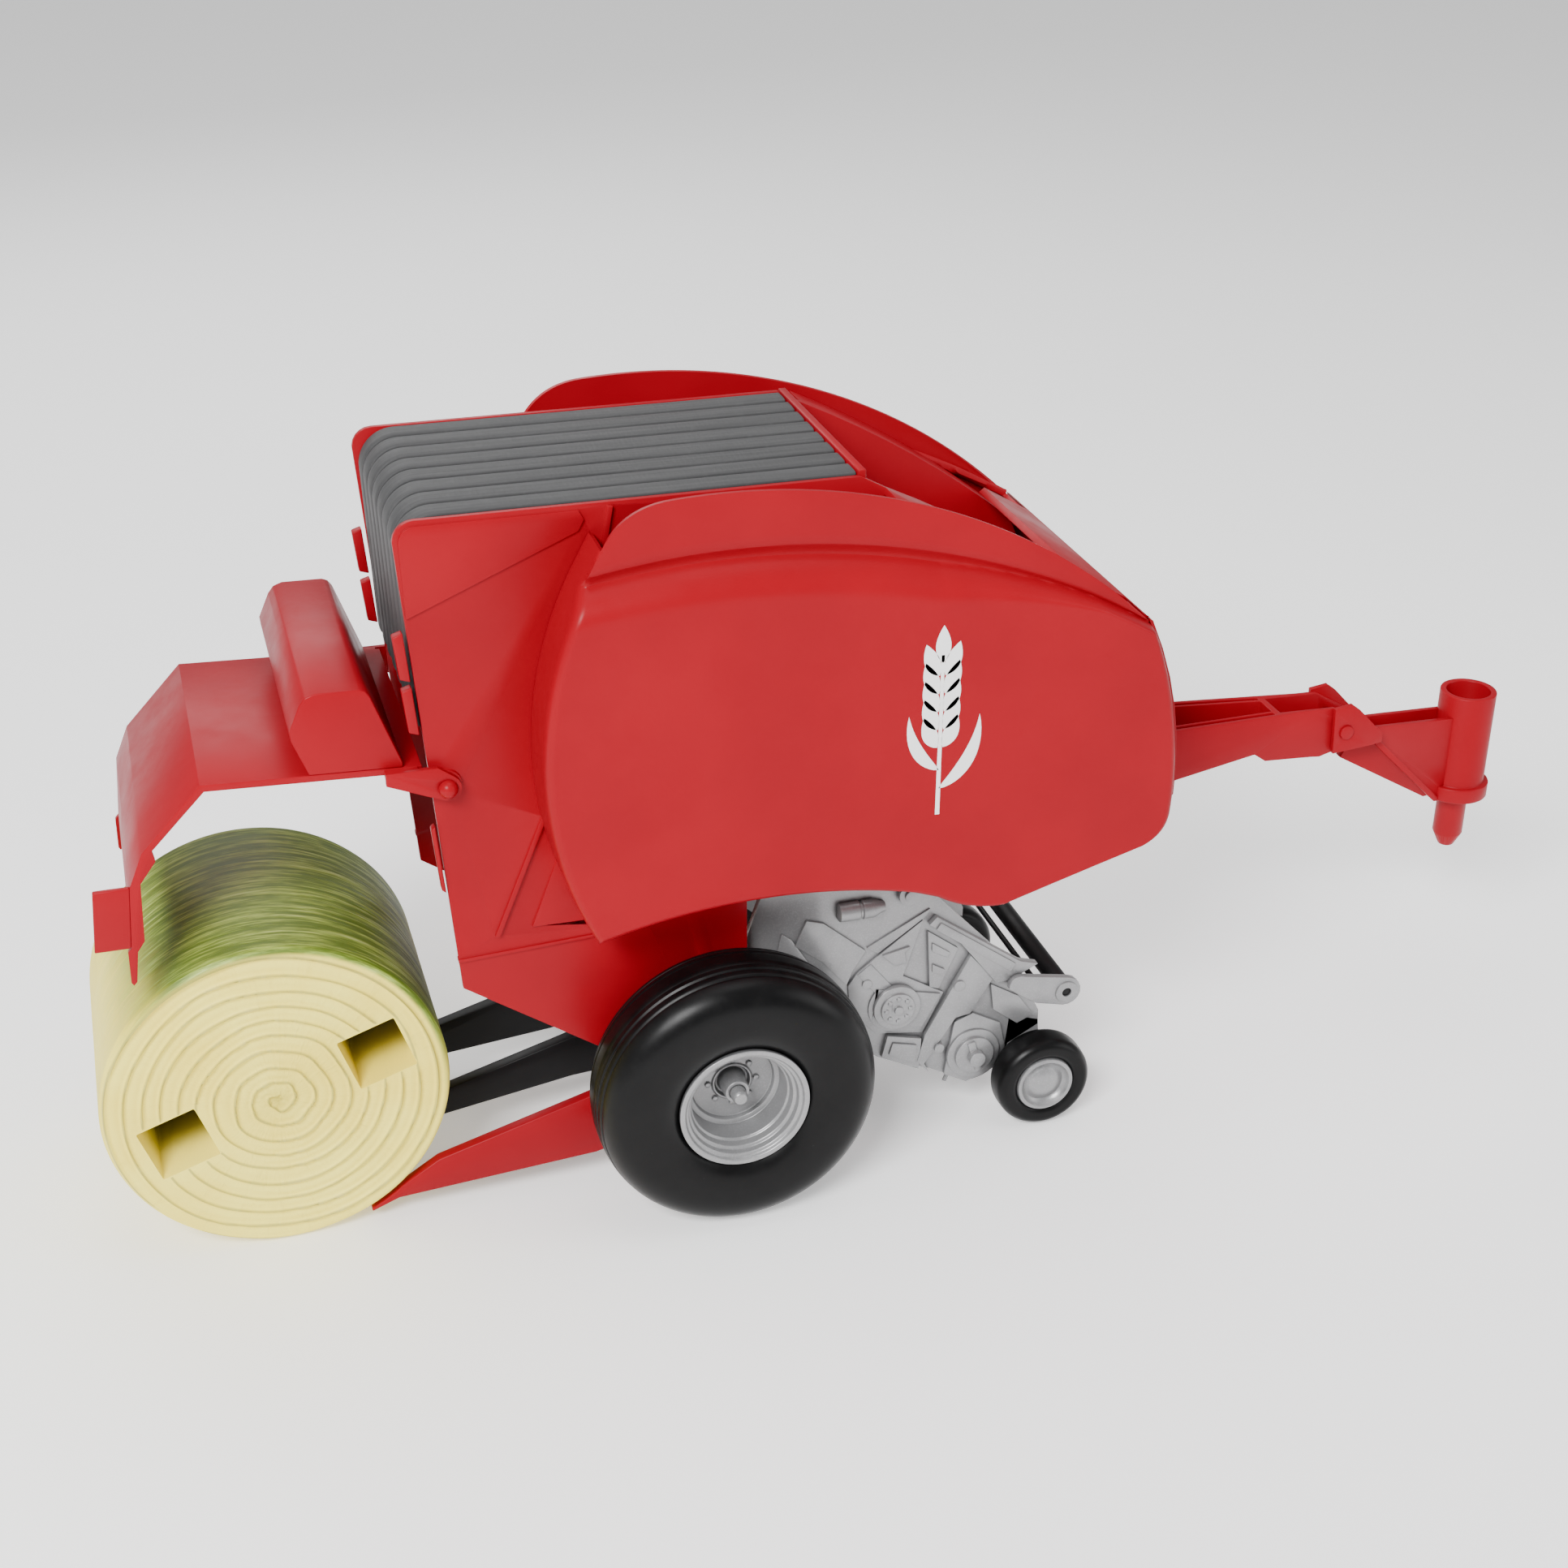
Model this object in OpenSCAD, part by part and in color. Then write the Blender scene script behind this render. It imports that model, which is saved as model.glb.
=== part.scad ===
// Toy round baler on two wheels, with its bale on the ground behind the open tailgate.
// Millimetres. +X is the direction of travel, +Z is up, Y = 0 is the centre plane.
// The outlines are drawn in side view with x = 0 at the axle and z = 0 on the ground.

/* [Overall] */
// Clear width of the bale chamber
chamber_w = 65; // [60:1:78]
// Height of the chamber walls above the ground
body_top = 187.8; // [170:0.2:226]
// Width over the two main tyres
overall_w = 121; // [119:0.5:146]

/* [Body shell] */
// Thickness of the chamber walls
wall_t = 1.5; // [1.2:0.1:2]
// Distance from the axle back to the top rear corner
wall_rear = 74; // [70:1:80]
// Distance from the axle back to the low rear corner
wall_rear_low = 63.8; // [60:0.2:66]
// Height of the low rear corner
wall_low = 67; // [62:1:72]
// Distance that the side covers stand out from the walls
cover_depth = 12.9; // [10:0.1:14]
// Extra stand-out of the bulged lower face of a cover
cover_bulge = 4.6; // [2:0.2:6]
// Thickness of the side covers
cover_t = 1.5; // [1.2:0.1:2]
// Distance from the axle forward to the front corner of the covers
cover_front = 104.8; // [100:0.2:108]

/* [Belts] */
// Number of belts side by side
belt_count = 8; // [6:1:10]
// Thickness of a belt
belt_t = 0.8; // [0.5:0.1:1.2]
// Gap between neighbouring belts
belt_gap = 1; // [0.6:0.1:1.4]
// Radius of the turn at the rear roller
belt_turn_r = 9; // [7:0.5:10]

/* [Wheels] */
// Radius of the main tyres
wheel_r = 36; // [30:0.5:43.5]
// Width of a main tyre
wheel_w = 25; // [20:0.5:25]
// Radius of the rim lip
rim_r = 16; // [13:0.5:19.5]
// Radius of the main axle
axle_r = 2; // [1.6:0.1:2.4]
// Radius of the gauge wheels
gauge_r = 13.2; // [11:0.1:14]
// Width of a gauge wheel
gauge_w = 9.2; // [7:0.1:10]

/* [Bale] */
// Diameter of the bale
bale_d = 84.8; // [70:0.1:102]
// Gap between the bale and each chamber wall
bale_side_gap = 0.6; // [0.4:0.1:2]
// Side of the two square fork holes
fork_hole = 15; // [12:0.5:18]
// Distance of a fork hole from the middle of the bale
fork_offset = 26; // [22:0.5:28]
// Tilt of the line through the fork holes
fork_tilt = 19; // [0:1:30]

/* [Tailgate] */
// Height of the tailgate hinge
gate_hinge_z = 123.2; // [118:0.2:128]
// Radius of the tailgate hinge pin
gate_pin_r = 1.5; // [1.2:0.1:2]
// Thickness of the tailgate sheet
gate_t = 1.6; // [1.2:0.1:2]

/* [Pickup] */
// Distance from the axle forward to the pickup pivot
pickup_pivot_x = 30; // [28:0.5:34]
// Height of the pickup pivot
pickup_pivot_z = 96; // [94:0.5:98]
// Radius of the pickup pivot bar
pickup_pivot_r = 2; // [1.6:0.1:2.4]
// Reach of the tines from the reel axis
tine_reach = 14; // [12:0.5:15]
// Number of tine bars
tine_bars = 4; // [3:1:5]

/* [Drawbar] */
// Distance from the axle forward to the hitch tube
hitch_x = 230; // [215:1:250]
// Outer radius of the hitch tube
hitch_tube_r = 7.8; // [7:0.1:9]
// Radius of the hole in the hitch tube
hitch_bore_r = 6.1; // [4.6:0.1:6.4]
// Radius of the hitch pin
hitch_pin_r = 4.2; // [3.5:0.1:5]
// Length of the straight part of the hitch pin
hitch_pin_l = 13; // [10:0.5:16]
// Width of the drawbar beam at its joint
drawbar_w = 12; // [11:0.5:14]
// Width of the drawbar beam at the body
drawbar_root_w = 24; // [20:0.5:28]

/* [Hidden] */

// Radial clearance of everything that turns on a shaft
run = 0.05;
// Gap between pieces that pass each other
gap = 0.6;
// Overshoot of a cut past the face that it opens
cut = 1;
round_fn = 96;
small_fn = 40;

wall_in = chamber_w / 2;
wall_out = wall_in + wall_t;
rim_out = wall_out + 1.2;
cover_face = wall_out + cover_depth;
axle_z = wheel_r;
wheel_out = overall_w / 2;
wheel_in = wheel_out - wheel_w;
bale_r = bale_d / 2;
bale_hw = wall_in - bale_side_gap;
bale_behind = 67.8;
bale_x = -(bale_r + bale_behind);
gate_hinge = [-(wall_rear_low + 0.8), gate_hinge_z];
hitch_flange_r = hitch_tube_r + 1.4;
front_reach = hitch_x + hitch_flange_r;
rear_reach = bale_r - bale_x;
axle_x = (rear_reach - front_reach) / 2;

// ---------------------------------------------------------------- helpers

// Centre of the circle through three points.
function circle_centre(a, b, c) =
    let (d = 2 * (a.x * (b.y - c.y) + b.x * (c.y - a.y) + c.x * (a.y - b.y)))
    let (u = (a * a) * (b.y - c.y) + (b * b) * (c.y - a.y) + (c * c) * (a.y - b.y))
    let (v = (a * a) * (c.x - b.x) + (b * b) * (a.x - c.x) + (c * c) * (b.x - a.x))
    [u / d, v / d];

function angle_of(p, o) = atan2(p.y - o.y, p.x - o.x);
function turn(a) = a - 360 * floor(a / 360);

// Points from a to c along the circle that also passes through b, in n steps.
function arc3(a, b, c, n) =
    let (o = circle_centre(a, b, c))
    let (r = norm(a - o))
    let (t0 = angle_of(a, o))
    let (to_b = turn(angle_of(b, o) - t0))
    let (to_c = turn(angle_of(c, o) - t0))
    let (sweep = to_b < to_c ? to_c : to_c - 360)
    [for (i = [0:n]) o + r * [cos(t0 + sweep * i / n), sin(t0 + sweep * i / n)]];

// Points on an arc about o from angle a0 to a1.
function arc(o, r, a0, a1, n) =
    [for (i = [0:n]) o + r * [cos(a0 + (a1 - a0) * i / n), sin(a0 + (a1 - a0) * i / n)]];

function reversed(p) = [for (i = [len(p) - 1:-1:0]) p[i]];

// Point a share t of the way from p to q.
function between(p, q, t) = p + t * (q - p);

// Four corners of a straight strip of width w between two points.
function strip(p, q, w) =
    let (d = (q - p) / norm(q - p))
    let (s = [-d.y, d.x] * w / 2)
    [p + s, p - s, q - s, q + s];

// Everything is drawn with the axle at x = 0 and then set in the part's own frame.
module place() {
    translate([axle_x, 0, 0]) children();
}

// A side-view outline made solid from y0 to y1.
module slab(points, y0, y1) {
    translate([0, y1, 0]) rotate([90, 0, 0]) linear_extrude(y1 - y0) polygon(points);
}

// A round bar along Y at side-view point p.
module bar(p, r, y0, y1, fn = small_fn) {
    translate([p.x, y0, p.y]) rotate([-90, 0, 0]) cylinder(r = r, h = y1 - y0, $fn = fn);
}

// What is drawn for the right side (-Y), kept there or mirrored to the left.
module on_side(side) {
    if (side == "right") children();
    else mirror([0, 1, 0]) children();
}

// A closed solid through rings of equal length, the first and last ring flat.
module skin(rings) {
    n = len(rings[0]);
    m = len(rings);
    points = [for (r = rings) for (p = r) p];
    sides = [for (j = [0:m - 2]) for (i = [0:n - 1])
        [j * n + i, j * n + (i + 1) % n, (j + 1) * n + (i + 1) % n, (j + 1) * n + i]];
    first = [for (i = [n - 1:-1:0]) i];
    last = [for (i = [0:n - 1]) (m - 1) * n + i];
    polyhedron(points, concat([first], sides, [last]), convexity = 6);
}

// ---------------------------------------------------------------- body shell

rear_top = [-wall_rear, body_top];
rear_low = [-wall_rear_low, wall_low];
function rear_edge(z) = between(rear_low, rear_top, (z - wall_low) / (body_top - wall_low));

belly = [-12, axle_z - 5.2];
belly_z = axle_z - 5.2;
throat_x = 7.7;
throat_z = 89;
wall_front_top = [35.2, body_top];

// Side view of a chamber wall; its front part is hidden by the cover.
function wall_outline() = concat(
    arc(rear_top + [6.2, -5], 5, 90, 175, 5),
    [rear_low, belly, [throat_x, belly_z], [throat_x, throat_z], [cover_front + 2, throat_z]],
    arc3([cover_front + 4, body_top - 78], [cover_front + 2, body_top - 58], rail_end, 4),
    reversed(rail_arc()),
    [wall_front_top]);

rail_end = [cover_front - 4, body_top - 41];
rail_start = [41.5, body_top - 3.4];
function rail_arc() = arc3(rail_start, [69, body_top - 18.2], rail_end, 8);

// The curved rail that carries the top of a cover on its wall.
function rail_outline() = concat(rail_arc(), reversed([for (p = rail_arc()) p - [0.6, 1.4]]));

module chamber_wall(side) {
    on_side(side) difference() {
        union() {
            slab(wall_outline(), -wall_out, -wall_in);
            slab(rail_outline(), -wall_out - 9, -wall_in);
            wall_ribs();
            bar(gate_hinge, 3.6, -rim_out, -wall_in);
        }
        bar([0, axle_z], axle_r + run, -wall_out - cut, -wall_in + cut);
        bar(gate_hinge, gate_pin_r + run, -wall_out - 9, -wall_in + cut);
        bar([pickup_pivot_x, pickup_pivot_z], pickup_pivot_r + run, -wall_out - cut, -wall_in + cut);
    }
}

// Stiffening ribs and shallow raised fields on the outside of a wall.
module wall_ribs() {
    y0 = -wall_out - 0.6;
    slab(upper_field(), y0, -wall_in);
    slab([[-46.3, 81.7], [-39.6, 99.2], [-31.1, 81.5]], y0, -wall_in);
    slab(strip([-25.9, 176.5], [-24, body_top - 0.8], 1.2), y0 - 0.4, -wall_in);
    slab(strip([-54.9, 80.5], [-42.3, 111], 1.2), y0 - 0.4, -wall_in);
    slab(strip([-64.6, 75], [-17.5, 77.4], 0.9), y0, -wall_in);
}

// Field above the diagonal crease of the rear corner.
function upper_field() = concat(
    [[-71, 165], [-31.4, 181.8], [-30, 184.4], [-31.2, body_top - 1.2]],
    arc(rear_top + [6.2, -5], 3.8, 90, 175, 5));

module chamber_wall_right() {
    color("firebrick") place() chamber_wall("right");
}

module chamber_wall_left() {
    color("firebrick") place() chamber_wall("left");
}

// Corners of a side cover in side view.
notch = [-32.2, body_top - 12.4];
cover_rear_top = [-24.4, body_top + 2.2];
cover_nose = [cover_front, body_top - 38.9];
chin = [cover_front + 8.2, 91.1];

function cover_top() = arc3(cover_rear_top, [27, body_top + 1.4], cover_nose, 14);
function cover_crease() = arc3(notch, [26, body_top - 10.6], cover_nose, 12);
function cover_front_edge() = arc3(cover_nose, [cover_front + 8.6, body_top - 72], chin, 5);
function cover_bottom() = concat(
    arc3([69, 77.4], [61, 78.4], [52, 82.4], 3),
    arc3([46, 84.6], [12, 89.2], [-33.2, 83.3], 7));
function cover_rear() = arc3([-33.2, 83.3], [-44.4, 128], notch, 7);

// The whole cover, and its bulged part below the crease.
function cover_outline() =
    concat(cover_top(), cover_front_edge(), cover_bottom(), cover_rear());
function bulge_outline() =
    concat(cover_crease(), cover_front_edge(), cover_bottom(), cover_rear());

// The bulge's outline drawn in by a share s of its size, at distance y from the centre plane.
bulge_middle = [34, 130];
function bulge_ring(s, y) =
    [for (p = bulge_outline()) let (q = between(p, bulge_middle, s)) [q.x, -y, q.y]];
function bulge_rings(y0, depth, s0) = concat(
    [bulge_ring(s0, y0)],
    [for (a = [0:22.5:90]) bulge_ring(s0 + 0.06 * (1 - cos(a)), y0 + 0.6 + depth * sin(a))]);

module side_cover(side) {
    on_side(side) difference() {
        union() {
            slab(cover_outline(), -cover_face, -wall_out - gap / 2);
            skin(bulge_rings(cover_face - 1, cover_bulge, 0));
        }
        cover_hollow();
        translate([0, 0, 4]) cover_hollow();
        skin(bulge_rings(cover_face - cover_t - 1, cover_bulge, 0.04));
    }
}

// The room inside a cover, open towards the wall and past the top edge.
module cover_hollow() {
    intersection() {
        translate([0, -wall_out + cut, 0]) rotate([90, 0, 0])
            linear_extrude(cover_depth - cover_t + cut)
                offset(delta = -cover_t) polygon(cover_outline());
        translate([-60, -cover_face, 80]) cube([cover_front + 80, cover_face, body_top]);
    }
}

module side_cover_right() {
    color("firebrick") place() side_cover("right");
}

module side_cover_left() {
    color("firebrick") place() side_cover("left");
}

// Cross panel that closes the front between the two covers.
function hood_outer() = concat(
    [[cover_front - 12, body_top - 31.4]],
    arc3([cover_front + 1.4, body_top - 39.3], [cover_front + 9.1, body_top - 62.5],
        [cover_front + 11, body_top - 87.8], 6));
function hood_inner() = [for (p = reversed(hood_outer())) p - [1.5, 1.1]];

module front_hood() {
    hood_hw = wall_in - gap / 2;
    color("indianred") place() difference() {
        slab(concat(hood_outer(), hood_inner()), -cover_face + 0.6, cover_face - 0.6);
        for (side = ["right", "left"]) {
            on_side(side) slab(hood_relief(), -cover_face, -hood_hw);
        }
    }
}

// The hood is cut back beside the walls, so that rails and covers have room.
function hood_relief() = concat(
    [for (p = cover_front_edge()) p + [0.35, 0.15]],
    [[cover_front - 20, chin.y], [cover_front - 20, body_top - 20],
        [cover_front - 0.6, body_top - 30]]);

// ---------------------------------------------------------------- belts

belt_top = body_top + 0.4;
belt_front_x = wall_front_top.x - 0.4;
belt_turn = [-wall_rear + belt_turn_r + 2.2, belt_top - belt_turn_r];
belt_end_z = gate_hinge_z + 14;

// Side view of a layer that runs along the top, round the rear turn and down.
function belt_layer(depth, thick) =
    let (r1 = belt_turn_r - depth)
    let (r0 = r1 - thick)
    concat([[belt_front_x, belt_top - depth]], arc(belt_turn, r1, 90, 184, 8),
        [[belt_turn.x - r1 + 1.6, belt_end_z], [belt_turn.x - r0 + 1.6, belt_end_z]],
        reversed(arc(belt_turn, r0, 90, 184, 8)), [[belt_front_x, belt_top - depth - thick]]);

module belts() {
    pitch = (chamber_w - 1) / belt_count;
    width = pitch - belt_gap;
    color("dimgray") place() for (i = [0:belt_count - 1]) {
        y = -(chamber_w - 1) / 2 + pitch * (i + 0.5);
        slab(belt_layer(0, belt_t), y - width / 2, y + width / 2);
    }
}

module belt_bed() {
    color([0.08, 0.08, 0.08]) place()
        slab(belt_layer(belt_t, 1.4), -wall_in + 0.2, wall_in - 0.2);
}

module belt_roller() {
    roller_r = belt_turn_r - belt_t - 1.4 - 0.2;
    color("gray") place()
        bar(belt_turn, roller_r, -wall_in + 0.2, wall_in - 0.2, round_fn);
}

crossbar_t = 2;

module belt_crossbar() {
    x0 = belt_front_x + 0.3;
    color("indianred") place()
        translate([x0, -wall_in + 0.2, body_top - 3.6]) cube([crossbar_t, chamber_w - 0.4, 4.6]);
}

// Curved front of the bale chamber, from under the belts down to the throat.
module chamber_front() {
    chamber_c = [-24, 118];
    r = 46;
    outline = concat(arc(chamber_c, r, 66, -42, 14), arc(chamber_c, r + 1.6, -42, 66, 14));
    color("firebrick") place() slab(outline, -wall_in + 0.2, wall_in - 0.2);
}

// ---------------------------------------------------------------- rear fittings

// Two clips and a latch catch on the rear edge of one wall.
module rear_clips(side) {
    on_side(side) {
        clip_block(150, 162, 2.4);
        clip_block(136.6, 148.6, 2.4);
        clip_block(94.6, 112.6, 1);
    }
}

// A block of the given depth on the rear edge, from height z0 to z1.
module clip_block(z0, z1, depth) {
    a = rear_edge(z0) - [0.3, 0];
    b = rear_edge(z1) - [0.3, 0];
    slab([a, b, b - [depth, 0.8], a - [depth, -0.8]], -rim_out, -wall_in);
}

module rear_clips_right() {
    color("indianred") place() rear_clips("right");
}

module rear_clips_left() {
    color("indianred") place() rear_clips("left");
}

// A stub pin with a domed head through each wall; the chamber between them stays open.
module gate_hinge_pins() {
    tip = ear_out + 0.3;
    color("firebrick") place() for (side = ["right", "left"]) {
        on_side(side) {
            bar(gate_hinge, gate_pin_r, -tip, -wall_in - 0.1);
            translate([gate_hinge.x, -tip, gate_hinge.y]) intersection() {
                sphere(r = 2.3, $fn = small_fn);
                translate([-3, -3, -3]) cube([6, 3, 6]);
            }
        }
    }
}

module pickup_pivot_bar() {
    color("gray") place()
        bar([pickup_pivot_x, pickup_pivot_z], pickup_pivot_r, -wall_out - 0.5, wall_out + 0.5);
}

// ---------------------------------------------------------------- axle and ramp

module axle() {
    color("silver") place() {
        bar([0, axle_z], axle_r, -wheel_out + 6, wheel_out - 6, round_fn);
        for (s = [-1, 1]) {
            translate([0, s * (wheel_out - 6), axle_z]) rotate([-90 * s, 0, 0])
                cylinder(r1 = axle_r, r2 = axle_r - 0.5, h = 0.8, $fn = round_fn);
        }
    }
}

module axle_housing() {
    hw = wall_in - 0.3;
    color("firebrick") place() difference() {
        translate([-7, -hw, axle_z - 5]) cube([14, 2 * hw, 10]);
        bar([0, axle_z], axle_r + run, -hw - cut, hw + cut);
    }
}

carrier_top = axle_z - 5.3;
carrier_low = axle_z - 20;

module ramp_carrier() {
    hw = wall_in - 0.3;
    color([0.1, 0.1, 0.1]) place()
        translate([-7, -hw, carrier_low]) cube([12, 2 * hw, carrier_top - carrier_low]);
}

// Side view of a ramp arm; its tip lies close under the round of the bale.
ramp_tip = 20;
function ramp_outline(top, low) = [
    [-7.3, carrier_top], [-32.2, top], [-72.5, top - 11.8], [bale_x + ramp_tip, 4.4],
    [bale_x + ramp_tip, 3.2], [-83.2, 6], [-32, low], [-7.3, carrier_low]];

module ramp_arm(y0, y1, top, low) {
    difference() {
        slab(ramp_outline(top, low), y0, y1);
        bar([bale_x, bale_r], bale_r + 0.9, y0 - cut, y1 + cut, round_fn);
    }
}

module ramp_arm_right() {
    color("firebrick") place() {
        ramp_arm(-wall_in + 1.6, -wall_in + 4.6, 27.4, 9.6);
    }
}

module ramp_arm_centre() {
    color([0.1, 0.1, 0.1]) place() ramp_arm(-1.8, 1.8, 26.2, 14.2);
}

module ramp_arm_left() {
    color([0.1, 0.1, 0.1]) place() ramp_arm(wall_in - 5.2, wall_in - 1.6, 26.6, 11);
}

// ---------------------------------------------------------------- drawbar

beam_rear = cover_front - 4;
beam_straight = 178;
beam_t = 1.4;
joint_at = [187.5, 89.5];
drawbar_pin_r = 2;
yoke_in = drawbar_w / 2 + 0.35;
yoke_out = yoke_in + 1.4;

// Half the beam's width at distance x; it narrows from the body to its joint.
function beam_half(x) = x > beam_straight ? drawbar_w / 2
    : drawbar_w / 2 + (drawbar_root_w - drawbar_w) / 2 * (beam_straight - x) / (beam_straight - beam_rear);

// Cross plate that carries the drawbar between the two walls.
module drawbar_bracket() {
    color("firebrick") place() {
        translate([beam_rear - 8, -wall_in + 0.3, throat_z + 3])
            cube([5, chamber_w - 0.6, 12]);
        translate([beam_rear - 8, -drawbar_root_w / 2 - 1, 79])
            cube([7.7, drawbar_root_w + 2, 22]);
    }
}

// Side view of the beam, deep at the body, with a pad below and a low end at its joint.
beam_outline = [
    [beam_rear, 77.8], [160, 86.2], [163.6, 83.6], [181, 82], [185, 83.2], [190.4, 84.6],
    [193.8, 87.6], [193.8, 90.8], [184, 96.4], [beam_rear, 98.6]];

// A piece of the beam in plan view between insets a and b from its two sides.
module beam_plan(x0, x1, a, b) {
    for (s = [-1, 1]) {
        translate([0, 0, 60]) linear_extrude(60)
            polygon([[x0, s * (beam_half(x0) - a)], [x1, s * (beam_half(x1) - a)],
                [x1, s * (beam_half(x1) - b)], [x0, s * (beam_half(x0) - b)]]);
    }
}

module drawbar_beam() {
    rib = 0.9;
    slot = 1.3;
    core = beam_t + slot + rib;
    color("firebrick") place() difference() {
        intersection() {
            slab(beam_outline, -drawbar_root_w, drawbar_root_w);
            translate([0, 0, 60]) linear_extrude(60) polygon([
                [beam_rear, -beam_half(beam_rear)], [beam_straight, -beam_half(beam_straight)],
                [200, -drawbar_w / 2], [200, drawbar_w / 2],
                [beam_straight, beam_half(beam_straight)], [beam_rear, beam_half(beam_rear)]]);
        }
        intersection() {
            union() {
                beam_plan(beam_rear + 2, 114, beam_t, beam_t + slot);
                beam_plan(115.4, 166, beam_t, beam_t + slot);
            }
            translate([0, -20, 91]) cube([220, 40, 30]);
        }
        translate([0, 0, 88.4]) linear_extrude(30) polygon([
            [beam_rear + 2, core - beam_half(beam_rear)], [166, core - beam_half(166)],
            [166, beam_half(166) - core], [beam_rear + 2, beam_half(beam_rear) - core]]);
        translate([168, beam_t - drawbar_w / 2, 86.8]) cube([40, drawbar_w - 2 * beam_t, 20]);
        bar(joint_at, drawbar_pin_r + run, -drawbar_w, drawbar_w);
    }
}

module drawbar_pin() {
    color("firebrick") place()
        bar(joint_at, drawbar_pin_r, -yoke_out - 0.5, yoke_out + 0.5);
}

// ---------------------------------------------------------------- hitch head

flange_low = 61.6;
flange_t = 4.3;
tube_low = flange_low + flange_t;
tube_top = 93.6;
arm_hw = 4.3;

// Yoke over the beam's end, open box arm and the web below its sloping edge.
module hitch_frame() {
    t = 1.4;
    tube_back = hitch_x - 5;
    yoke = [
        [183.3, 96.8], [188.6, 97.6], [191, 95.8], [196.6, 90], [199, 88], [199, 85],
        [195.2, 84.4], [184, 83.4]];
    sides = [[195.2, 88.6], [199, 87.8], [tube_back, 87.2], [tube_back, 59.4], [199, 85], [195.2, 85.4]];
    web = [[190.6, 78.2], [195.2, 86], [199, 85.8], [222.6, 62], [219.4, flange_low]];
    color("firebrick") place() difference() {
        union() {
            for (s = [-1, 1]) {
                y = s * (yoke_in + yoke_out) / 2;
                slab(yoke, y - t / 2, y + t / 2);
            }
            slab([[195.2, 88.8], [199, 88], [199, 85], [195.2, 84.4]], -yoke_out, yoke_out);
            for (s = [-1, 1]) {
                y = s * (arm_hw - t / 2);
                slab(sides, y - t / 2, y + t / 2);
            }
            slab(strip([198.4, 84.6], [tube_back, 58.6], 1.6), -arm_hw - 0.4, arm_hw + 0.4);
            slab(web, -1.2, 1.2);
        }
        bar(joint_at, drawbar_pin_r + run, -drawbar_w, drawbar_w);
        translate([hitch_x, 0, 40]) cylinder(r = hitch_tube_r + 0.02, h = 80, $fn = round_fn);
        translate([hitch_x, 0, flange_low - cut])
            cylinder(r = hitch_flange_r + 0.02, h = flange_t + cut + 0.02, $fn = round_fn);
        translate([200, -20, 40]) cube([40, 40, flange_low - 40]);
    }
}

// Socket above, flange, and the pin that drops into a drawbar eye below.
module hitch_tube() {
    color("firebrick") place() translate([hitch_x, 0, 0]) difference() {
        union() {
            translate([0, 0, tube_low - cut])
                cylinder(r = hitch_tube_r, h = tube_top - tube_low + cut, $fn = round_fn);
            translate([0, 0, flange_low])
                cylinder(r = hitch_flange_r, h = flange_t, $fn = round_fn);
            translate([0, 0, flange_low - hitch_pin_l])
                cylinder(r = hitch_pin_r, h = hitch_pin_l + cut, $fn = round_fn);
            translate([0, 0, flange_low - hitch_pin_l - 4.2])
                cylinder(r1 = hitch_pin_r - 2, r2 = hitch_pin_r, h = 4.2, $fn = round_fn);
        }
        translate([0, 0, tube_low]) cylinder(r = hitch_bore_r, h = 60, $fn = round_fn);
    }
}

// ---------------------------------------------------------------- main wheels

// A ring about the wheel's axis from its section of (radius, distance in) points.
module wheel_ring(section) {
    rotate([-90, 0, 0]) rotate_extrude($fn = round_fn) polygon(section);
}

// The outer face of a right wheel lies at y = -wheel_out; in is towards +Y.
module at_wheel(side) {
    place() on_side(side) translate([0, -wheel_out, axle_z]) children();
}

module tyre(side) {
    groove_w = 0.5;
    color([0.1, 0.1, 0.1]) at_wheel(side) difference() {
        wheel_ring(tyre_ring());
        for (y = [6.2, 8.6, 11]) {
            wheel_ring([[wheel_r - 0.9, y], [wheel_r + 1, y], [wheel_r + 1, y + groove_w],
                [wheel_r - 0.9, y + groove_w]]);
        }
    }
}

// The tyre's section with its bore cut square on the rim.
function tyre_ring() =
    let (n = 18)
    let (mid_r = (wheel_r + rim_r) / 2 - 1)
    let (half_h = wheel_r - mid_r)
    let (half_w = wheel_w / 2)
    let (low = asin(pow((mid_r - rim_r + 0.2) / half_h, 1 / 0.74)))
    let (a0 = -low)
    let (a1 = 180 + low)
    [for (i = [0:2 * n]) let (a = a0 + (a1 - a0) * i / (2 * n))
        [mid_r + half_h * sign(sin(a)) * pow(abs(sin(a)), 0.74),
         half_w - half_w * sign(cos(a)) * pow(abs(cos(a)), 0.74)]];

module tyre_right() {
    tyre("right");
}

module tyre_left() {
    tyre("left");
}

rim_depth = 14;
hub_r = axle_r + 1.6;
dish_r = hub_r + 1.1;
bolt_circle_r = dish_r + 1.6;

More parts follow.
